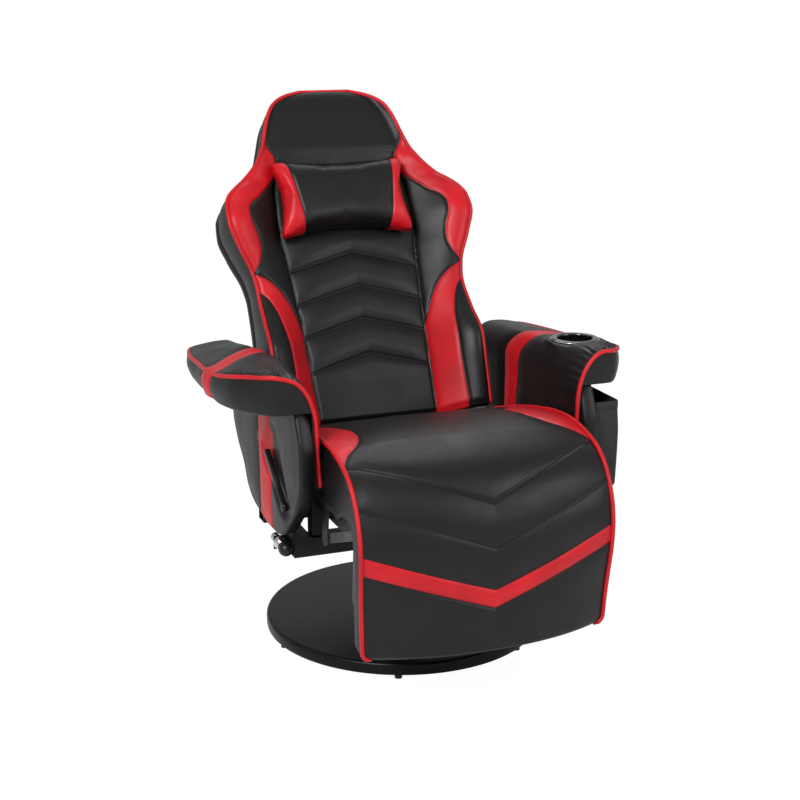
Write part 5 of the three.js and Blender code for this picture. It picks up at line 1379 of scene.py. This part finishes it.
POUCH_SPAN_X = (322.3, 384.3)
POUCH_SPAN_Y = (-268, -40)
POUCH_SPAN_Z = (356, 545)
POUCH_WALL = 3.2
POUCH_CORNER, POUCH_REAR_CORNER = 11, 2.0
POUCH_COLUMNS = 104


def pouch_ring(height, inset):
    """One level of the pouch: a rounded oblong that bellies out a little half way up."""
    share = (height - POUCH_SPAN_Z[0]) / (POUCH_SPAN_Z[1] - POUCH_SPAN_Z[0])
    belly = 3.0 * math.sin(math.pi * min(1, max(0, share))) - 1.5 * share
    low_x, high_x = POUCH_SPAN_X[0] + inset, POUCH_SPAN_X[1] - inset + belly
    low_y, high_y = POUCH_SPAN_Y[0] + inset + 2 * (1 - share), POUCH_SPAN_Y[1] - inset - 2 * (1 - share)
    corners = ((high_x, low_y, 1, -1), (high_x, high_y, 1, 1), (low_x, high_y, -1, 1), (low_x, low_y, -1, -1))
    places = []
    for number, (x, y, out_x, out_y) in enumerate(corners):
        round_off = max(POUCH_REAR_CORNER, POUCH_CORNER - inset) if out_x > 0 else POUCH_REAR_CORNER
        centre = np.array([x - out_x * round_off, y - out_y * round_off])
        for angle in np.radians(90 * (number - 1) + np.linspace(0, 90, 7)):
            places.append(centre + round_off * np.array([math.cos(angle), math.sin(angle)]))
    ring = resample(np.vstack([places, places[:1]]), 5.5)
    run = lengths_along(ring)
    at = np.linspace(0, run[-1], POUCH_COLUMNS, endpoint=False)
    columns = [np.interp(at, run, column) for column in ring.T]
    return np.column_stack([*columns, np.full(POUCH_COLUMNS, height)])


def build_pouch():
    low, high = POUCH_SPAN_Z
    outside = [(low, 7), (low + 1, 3.4), (low + 4, 0.9), (low + 9, 0)]
    outside += [(z, 0) for z in np.linspace(low + 22, high - 20, 12)]
    outside += [(high - 17, 0), (high - 16, -0.9), (high - 3, -0.9), (high - 0.8, -0.2), (high, 1.2)]
    inside = [(high - 0.8, 2.6), (high - 3, POUCH_WALL), (high - 40, POUCH_WALL)]
    inside += [(low + 60, POUCH_WALL), (low + 5, 6), (low + 4, 12)]
    rings = np.array([pouch_ring(z, inset) for z, inset in outside + inside])
    points = rings.reshape(-1, 3)
    free = smoothstep(points[:, 0], 326, 345)
    points[:, 0] += UNEVEN["pouch"] * free * wrinkle(points, 55, 19.0)
    pouch = make_loft("pouch_shell", points.reshape(rings.shape), POUCH_FABRIC)
    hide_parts("side_pouch")
    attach(pouch, "seat_frame")


# Half the lever's width at its hub and tip, the tip's rounded length, and its layers (x, inset)
LEVER_HUB, LEVER_TIP = 7, 8.2
LEVER_TIP_LENGTH = 8
LEVER_LAYERS = ((317.2, 1.5), (317.8, 0.3), (320, 0), (325, 0), (327.4, 0.9), (328.6, 2.6), (329, 5.2))


def build_lever():
    """A flat moulded handle that widens to a rounded grip, on its hub."""
    turn = np.linspace(0, math.pi, 15)[1:-1]
    reach = np.linspace(0, 1, 24)
    widths = 4.4 + 5.0 * smoothstep(reach, 0.28, 0.6) - 1.2 * smoothstep(reach, 0.75, 1)
    upper = np.column_stack([reach * LEVER_LENGTH, widths])
    tip = np.column_stack([LEVER_LENGTH + LEVER_TIP_LENGTH * np.sin(turn), LEVER_TIP * np.cos(turn)])
    hub = np.column_stack([-LEVER_HUB * np.sin(turn), -LEVER_HUB * np.cos(turn)])
    outline = np.vstack([upper[2:], tip, (upper * [1, -1])[::-1][:-2], hub])
    along = np.array([math.cos(LEVER_LEAN), math.sin(LEVER_LEAN)])
    across = np.array([-along[1], along[0]])
    rings = []
    for x, inset in LEVER_LAYERS:
        lengths = np.clip(outline[:, 0], inset - LEVER_HUB, LEVER_LENGTH + LEVER_TIP_LENGTH - inset)
        sides = np.sign(outline[:, 1]) * np.maximum(np.abs(outline[:, 1]) - inset, 0)
        flat = LEVER_PIVOT + lengths[:, None] * along + sides[:, None] * across
        rings.append(np.column_stack([np.full(len(flat), -x), flat]))
    lever = make_loft("lever_handle", np.array(rings), BLACK_PLASTIC)
    keep_corners(lever, 55)
    where = {"place": (0, *LEVER_PIVOT), "axis": "x", "corners": 50}
    boss = [
        (0, -0.2), (8.6, -0.2), (9.2, 0.5), (9.2, 9.5), (8.4, 11.2),
        (6.5, 12), (2.4, 12.2), (2, 11.7), (0, 11.7),
    ]
    hub_piece = make_turned("lever_hub", [(r, -317.6 - h) for r, h in boss], BLACK_PLASTIC, sides=48, **where)
    shaft = [(0, -290.6), (4.6, -290.6), (5, -291), (5, -318), (0, -318)]
    spindle = make_turned("lever_spindle", shaft, BRIGHT_STEEL, sides=32, **where)
    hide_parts("release_lever")
    for piece in (lever, hub_piece, spindle):
        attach(piece, "lever")


LOCK_X, LOCK_Z = -304, 258.3
KNOB_Y, KNOB_RADIUS = -124.8, 15.5
SLEEVE_FRONT_Y, SLEEVE_REAR_Y = -108.3, -82.3


def build_lock():
    where = {"place": (LOCK_X, 0, LOCK_Z), "axis": "y"}
    angles = np.linspace(0, math.radians(148), 22)
    ball = [(math.sin(a) * KNOB_RADIUS, KNOB_Y - math.cos(a) * KNOB_RADIUS) for a in angles]
    neck = [
        (8.2, KNOB_Y + 14.4), (7.6, KNOB_Y + 15.4), (5, KNOB_Y + 15.6),
        (5, -74), (4.2, -72.8), (0, -72.8),
    ]
    knob = make_turned("lock_ball", ball + neck, BLACK_PLASTIC, sides=48, corners=50, **where)
    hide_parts("lock_knob")
    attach(knob, "lock")
    near, far = SLEEVE_FRONT_Y, SLEEVE_REAR_Y
    tube = [
        (5.6, near), (12.2, near), (13, near + 0.8), (13, near + 6), (12.4, near + 6.6),
        (12.4, near + 8), (13, near + 8.6), (13, far - 3), (14.4, far - 2.8), (14.4, far - 0.4),
        (14, far), (5.6, far), (5.6, near),
    ]
    sleeve = make_turned("lock_tube", tube, CHROME, sides=56, **where)
    rear = [
        (0, -77.6), (8.6, -77.6), (9.2, -77), (9.2, -44.6),
        (8.6, -43.8), (6, -43.6), (5.4, -45), (0, -45),
    ]
    stub = make_turned("lock_stub", rear, CHROME, sides=40, **where)
    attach(stub, "seat_frame")
    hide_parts("lock_sleeve")
    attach(sleeve, "seat_frame")


# Base disc, column and bearing
def build_base():
    dome = [(r, 42 - 5.7 * (r / 292) ** 2.4) for r in np.linspace(0, 292, 26)]
    edge = [(295 + 7 * math.sin(a), 29.3 + 7 * math.cos(a)) for a in np.linspace(0.12, math.pi / 2, 9)]
    foot = [(302, 13), (301.2, 11), (299.5, 10.1), (296, 10), (0, 10)]
    disc = make_turned("base_plate", dome + edge + foot, SATIN_BLACK, sides=192, corners=60)
    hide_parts("base_disc")
    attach(disc, "base")
    flanged = [
        (0, 42.3), (91, 42.3), (92, 43.2), (92, 47.4), (91, 48.3), (44, 48.3), (40, 49.2), (37.2, 52),
        (36, 56), (36, 168), (37.2, 172.4), (40, 175.4), (44, 176.3), (59, 176.3), (60, 177.2),
        (60, 181.4), (59, 182.3), (0, 182.3),
    ]
    column = make_turned("pedestal_tube", flanged, BLACK_STEEL, sides=72)
    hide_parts("pedestal_column")
    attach(column, "base")
    ring = [
        (62, 187.9), (79.4, 187.9), (80, 188.5), (80, 190.6), (78.4, 191.4), (78.4, 193.2), (80, 194.1),
        (80, 196.2), (79.4, 196.8), (62, 196.8), (62, 187.9),
    ]
    race = make_turned("bearing_race", ring, BRIGHT_STEEL)
    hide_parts("turntable_bearing")
    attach(race, "base")


def dress_frame():
    """Finishes for the frame's own plates, tubes, boards and feet, which keep their shapes."""
    frame_nodes = (
        "turntable_rail", "front_post", "rear_post", "seat_rail", "arm_bracket", "legrest_arm",
        "recline_bracket",
    )
    moving_nodes = ("legrest_pin", "drive_crank", "legrest_link")
    dressed = {
        RUBBER: [f"base_foot_{number}" for number in range(1, 7)],
        BLACK_STEEL: [
            "lower_turntable_plate", "upper_turntable_plate", "front_beam", "rear_beam", "lock_bracket",
        ],
        BRIGHT_STEEL: ["recline_shaft", "drive_shaft"],
        PLYWOOD: ["seat_board", "legrest_board", "back_board"],
    }
    for side in SIDES:
        dressed[BLACK_STEEL] += [f"{node}_{side}" for node in frame_nodes]
        dressed[BRIGHT_STEEL] += [f"{node}_{side}" for node in moving_nodes]
    for finish, nodes in dressed.items():
        for node in nodes:
            dress(node, finish)


build_cup()
build_pouch()
build_lever()
build_lock()
build_base()
dress_frame()


# Stitches, screws and perforations, each a small shape repeated by a tree of geometry nodes
class Tree:
    """A geometry tree with one geometry input, named sizes, and nodes from one method."""

    def __init__(self, name, sizes):
        self.group = bpy.data.node_groups.new(name, "GeometryNodeTree")
        self.group.interface.new_socket("Geometry", in_out="INPUT", socket_type="NodeSocketGeometry")
        self.ids = {}
        for size in sizes:
            socket = self.group.interface.new_socket(size, in_out="INPUT", socket_type="NodeSocketFloat")
            self.ids[size] = socket.identifier
        self.group.interface.new_socket("Geometry", in_out="OUTPUT", socket_type="NodeSocketGeometry")
        self.entry = self.group.nodes.new("NodeGroupInput")
        self.exit = self.group.nodes.new("NodeGroupOutput")

    def node(self, kind, settings=None, sockets=None):
        return add_node(self.group, kind, settings, sockets)

    def size(self, name):
        return self.entry.outputs[name]

    def finish(self, geometry, material):
        realized = self.node("GeometryNodeRealizeInstances", {}, {"Geometry": geometry})
        sockets = {"Geometry": realized.outputs[0], "Material": material}
        dyed = self.node("GeometryNodeSetMaterial", {}, sockets)
        self.group.links.new(dyed.outputs[0], self.exit.inputs[0])


def place_on(tree, points, shape, rotation, material):
    """Sets a shape on each point, turned its way, as the tree's result."""
    sockets = {"Points": points, "Instance": shape.outputs["Mesh"], "Rotation": rotation}
    placed = tree.node("GeometryNodeInstanceOnPoints", {}, sockets)
    tree.finish(placed.outputs[0], material)
    return tree


def stitch_tree(material):
    """Threads laid along guide lines, each a short rounded stitch."""
    tree = Tree("stitches", ["Pitch", "Length", "Thickness"])
    curve = tree.node("GeometryNodeMeshToCurve", {}, {"Mesh": tree.entry.outputs["Geometry"]})
    sockets = {"Curve": curve.outputs[0], "Length": tree.size("Pitch")}
    points = tree.node("GeometryNodeCurveToPoints", {"mode": "LENGTH"}, sockets)
    sockets = {
        "Vertices": 6, "Side Segments": 1, "Radius": tree.size("Thickness"), "Depth": tree.size("Length"),
    }
    thread = tree.node("GeometryNodeMeshCylinder", {}, sockets)
    return place_on(tree, points.outputs["Points"], thread, points.outputs["Rotation"], material)


def facing_tree(name, material, sides, taper):
    """Small shapes set on points, each turned to the way its point faces: flat discs, or heads that taper."""
    tree = Tree(name, ["Radius", "Height"])
    facing = tree.node("GeometryNodeInputNamedAttribute", {"data_type": "FLOAT_VECTOR"}, {"Name": "facing"})
    sockets = {"Vector": facing.outputs["Attribute"]}
    turned = tree.node("FunctionNodeAlignRotationToVector", {"axis": "Z"}, sockets)
    if taper:
        top = tree.node("ShaderNodeMath", {"operation": "MULTIPLY"}, {0: tree.size("Radius"), 1: taper})
        sockets = {
            "Vertices": sides, "Side Segments": 1, "Radius Top": top.outputs[0],
            "Radius Bottom": tree.size("Radius"), "Depth": tree.size("Height"),
        }
        shape = tree.node("GeometryNodeMeshCone", {}, sockets)
    else:
        sockets = {"Vertices": sides, "Radius": tree.size("Radius")}
        shape = tree.node("GeometryNodeMeshCircle", {"fill_type": "NGON"}, sockets)
    return place_on(tree, tree.entry.outputs["Geometry"], shape, turned.outputs[0], material)


def grow(name, tree, points, edges, sizes, facing=None):
    """Runs a tree on guide points or lines and keeps its result as a plain mesh."""
    mesh = bpy.data.meshes.new(name)
    mesh.from_pydata(in_scene(points).tolist(), edges, [])
    if facing is not None:
        attribute = mesh.attributes.new("facing", "FLOAT_VECTOR", "POINT")
        attribute.data.foreach_set("vector", np.asarray(facing, np.float32).ravel())
    piece = bpy.data.objects.new(name, mesh)
    bpy.context.scene.collection.objects.link(piece)
    modifier = piece.modifiers.new(name, "NODES")
    modifier.node_group = tree.group
    for size, value in sizes.items():
        modifier[tree.ids[size]] = value * MM
    apply_modifiers(piece)
    return piece


def guide(lines):
    """Joins separate lines into one set of points and edges."""
    points, edges, first = [], [], 0
    for line in lines:
        points.append(line)
        edges += [(first + step, first + step + 1) for step in range(len(line) - 1)]
        first += len(line)
    return np.vstack(points), edges


STITCHES = stitch_tree(THREAD)
PERFORATIONS = facing_tree("perforations", HOLE_SHADE, 8, None)
SCREWS = facing_tree("screws", BRIGHT_STEEL, 6, 0.9)
THREAD_SIZES = {"Pitch": 4.6, "Length": 3.3, "Thickness": 0.34}
STITCH_SHIFT = 4.5
BOLT_CIRCLE, BOLT_Z, BOLT_COUNT = 76, 50.2, 6


def seat_face(x, run):
    """The seat cover's padded face and the way it faces."""
    here = seat_surface(x, run)
    normal = np.cross(seat_surface(x + 3, run) - here, seat_surface(x, run + 3) - here)
    normal /= np.linalg.norm(normal, axis=1)[:, None]
    normal *= np.sign(normal @ [0, -1.0, 1.0])[:, None]
    _, seam = seat_values(x, run)
    lift = seat_relief(x, seam) * across_share(x, SEAT_HALF_WIDTH * EDGE_SHARE) ** EDGE_POWER
    return here + normal * lift[:, None], normal


def seat_lines():
    """Stitch lines beside the seat's seams, from side to side."""
    lines = []
    shifted = ((UPPER_SEAM, -STITCH_SHIFT), (LOWER_SEAM, STITCH_SHIFT), (BAND_TOP, -4), (BAND_FOOT, 4))
    for seam, shift in shifted:
        x = np.linspace(-seam.side_x + 3, seam.side_x - 3, 160)
        face, normal = seat_face(x, seam.line(x) + shift)
        lines.append(face + normal * 0.15)
    return lines


def perforation_places():
    """A staggered grid of holes from the upper seam to the red band."""
    places, facing = [], []
    rows = np.arange(NOSE_START, SEAT_LENGTH, PERFORATION_PITCH * 0.87)
    for number, run in enumerate(rows):
        x = np.arange(-250, 251, PERFORATION_PITCH) + PERFORATION_PITCH / 2 * (number % 2)
        along = np.full(len(x), run)
        kept = (UPPER_SEAM.away(x, along) > 4) & (BAND_TOP.away(x, along) < -4)
        kept &= np.abs(LOWER_SEAM.away(x, along)) > 4
        kept &= np.abs(x) < SEAT_HALF_WIDTH - 8
        if kept.any():
            face, normal = seat_face(x[kept], along[kept])
            places.append(face + normal * 0.12)
            facing.append(normal)
    return np.vstack(places), np.vstack(facing)


def back_line(x, height):
    """A stitch line on the back's face."""
    face = back_face(x, height) - seam_groove(*back_values(x, height)[1:])
    return from_back(x, face + 0.2, height)


def back_lines():
    """Stitch lines under the back's ribs and inside the seams of its centre panel."""
    lines = []
    for apex in CHEVRON_APEXES:
        x = np.linspace(-138, 138, 90)
        lines.append(back_line(x, apex - CHEVRON_SLOPE * np.abs(x) - STITCH_SHIFT))
    for sign in SIDES.values():
        height = np.linspace(14, 600, 200)
        lines.append(back_line(sign * (panel_half(height) - STITCH_SHIFT), height))
    return lines


def build_details():
    points, edges = guide(seat_lines())
    stitches = grow("seat_stitches", STITCHES, points, edges, THREAD_SIZES)
    bend(stitches)
    places, facing = perforation_places()
    holes = grow("seat_perforations", PERFORATIONS, places, [], {"Radius": 0.72, "Height": 1}, facing)
    bend(holes)
    points, edges = guide(back_lines())
    stitches = grow("back_stitches", STITCHES, points, edges, THREAD_SIZES)
    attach(stitches, "back_rest")
    turn = np.radians(30 + 360 / BOLT_COUNT * np.arange(BOLT_COUNT))
    circle = BOLT_CIRCLE * np.column_stack([np.cos(turn), np.sin(turn)])
    places = np.column_stack([circle, np.full(BOLT_COUNT, BOLT_Z)])
    upward = np.tile([0, 0, 1.0], (BOLT_COUNT, 1))
    bolts = grow("column_bolts", SCREWS, places, [], {"Radius": 7, "Height": 4.4}, upward)
    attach(bolts, "base")


build_details()


# Camera, floor and light
CAMERA_PLACE, CAMERA_FORWARD, CAMERA_LENS = (-1.125, -2.9652, 1.364), (0.34615, 0.90080, -0.26219), 67.5
# Place, what it shines at, size in metres and power in watts
LAMPS = {
    "key": ((-2.4, -2.3, 3.0), (0, 0, 0.6), 1.5, 140),
    "fill": ((2.2, -3.0, 2.2), (0, 0, 0.5), 2.0, 52),
    "rim": ((0.9, 2.2, 3.4), (0, 0, 0.8), 2.0, 28),
}
FLOOR_HALF = 9000
FLOOR_WHITE, FLOOR_GLOW = 0.86, 1.12
SKY_LIGHT = 0.3
MIRRORED_SHARE = 0.3


def look_from(place, forward, lens):
    camera = bpy.data.objects.new("camera", bpy.data.cameras.new("camera"))
    bpy.context.scene.collection.objects.link(camera)
    camera.data.lens, camera.data.sensor_width = lens, 36
    camera.location = place
    camera.rotation_euler = Vector(forward).to_track_quat("-Z", "Y").to_euler()
    bpy.context.scene.camera = camera


def soft_light(name, place, target, size, power):
    lamp = bpy.data.lights.new(name, "AREA")
    lamp.shape, lamp.size, lamp.energy = "DISK", size, power
    holder = bpy.data.objects.new(name, lamp)
    bpy.context.scene.collection.objects.link(holder)
    holder.location = place
    holder.rotation_euler = (Vector(target) - Vector(place)).to_track_quat("-Z", "Y").to_euler()


def white_for(tree, shade, backdrop, white):
    """Shows a backdrop to the camera, in part to mirrors, and through glass, and a shader to the rest."""
    paths = add_node(tree, "ShaderNodeLightPath")
    seen = paths.outputs["Is Camera Ray"]
    for kind, share in (("Is Glossy Ray", MIRRORED_SHARE), ("Is Transmission Ray", 1.0)):
        part = add_node(tree, "ShaderNodeMath", {"operation": "MULTIPLY"}, {0: paths.outputs[kind], 1: share})
        either = add_node(tree, "ShaderNodeMath", {"operation": "MAXIMUM"}, {0: seen, 1: part.outputs[0]})
        seen = either.outputs[0]
    amount = add_node(tree, "ShaderNodeMath", {"operation": "MULTIPLY"}, {0: seen, 1: white})
    sockets = {0: amount.outputs[0], 1: shade.outputs[0], 2: backdrop.outputs[0]}
    return add_node(tree, "ShaderNodeMixShader", {}, sockets).outputs[0]


def pale_floor():
    finish = Finish("pale_floor")
    pale = finish.mix(finish.noise(3, 2), colour(0.93, 0.93, 0.935), colour(0.95, 0.95, 0.955))
    finish.set(Base_Color=pale, Roughness=0.7)
    bright = finish.node("ShaderNodeEmission", {}, {"Strength": FLOOR_GLOW})
    shown = white_for(finish.tree, finish.surface, bright, FLOOR_WHITE)
    feed(finish.tree, finish.tree.nodes["Material Output"].inputs["Surface"], shown)
    return finish.material


def white_surroundings():
    """A plain white backdrop for the camera, and an even soft light on the chair."""
    world = bpy.data.worlds.new("surroundings")
    bpy.context.scene.world = world
    world.use_nodes = True
    tree = world.node_tree
    tree.nodes.clear()
    lit, backdrop = (
        add_node(tree, "ShaderNodeBackground", {}, {"Color": (1, 1, 1, 1), "Strength": strength})
        for strength in (SKY_LIGHT, 1.0)
    )
    add_node(tree, "ShaderNodeOutputWorld", {}, {"Surface": white_for(tree, lit, backdrop, 1.0)})


def build_studio():
    look_from(CAMERA_PLACE, CAMERA_FORWARD, CAMERA_LENS)
    corners = [(x * FLOOR_HALF, y * FLOOR_HALF, 0) for x, y in ((-1, -1), (1, -1), (1, 1), (-1, 1))]
    floor = make_mesh("floor", corners, [(0, 1, 2, 3)], pale_floor(), smooth=False)
    white_surroundings()
    for name, looks in LAMPS.items():
        soft_light(name, *looks)
    bpy.context.scene.view_settings.view_transform = "Standard"


build_studio()
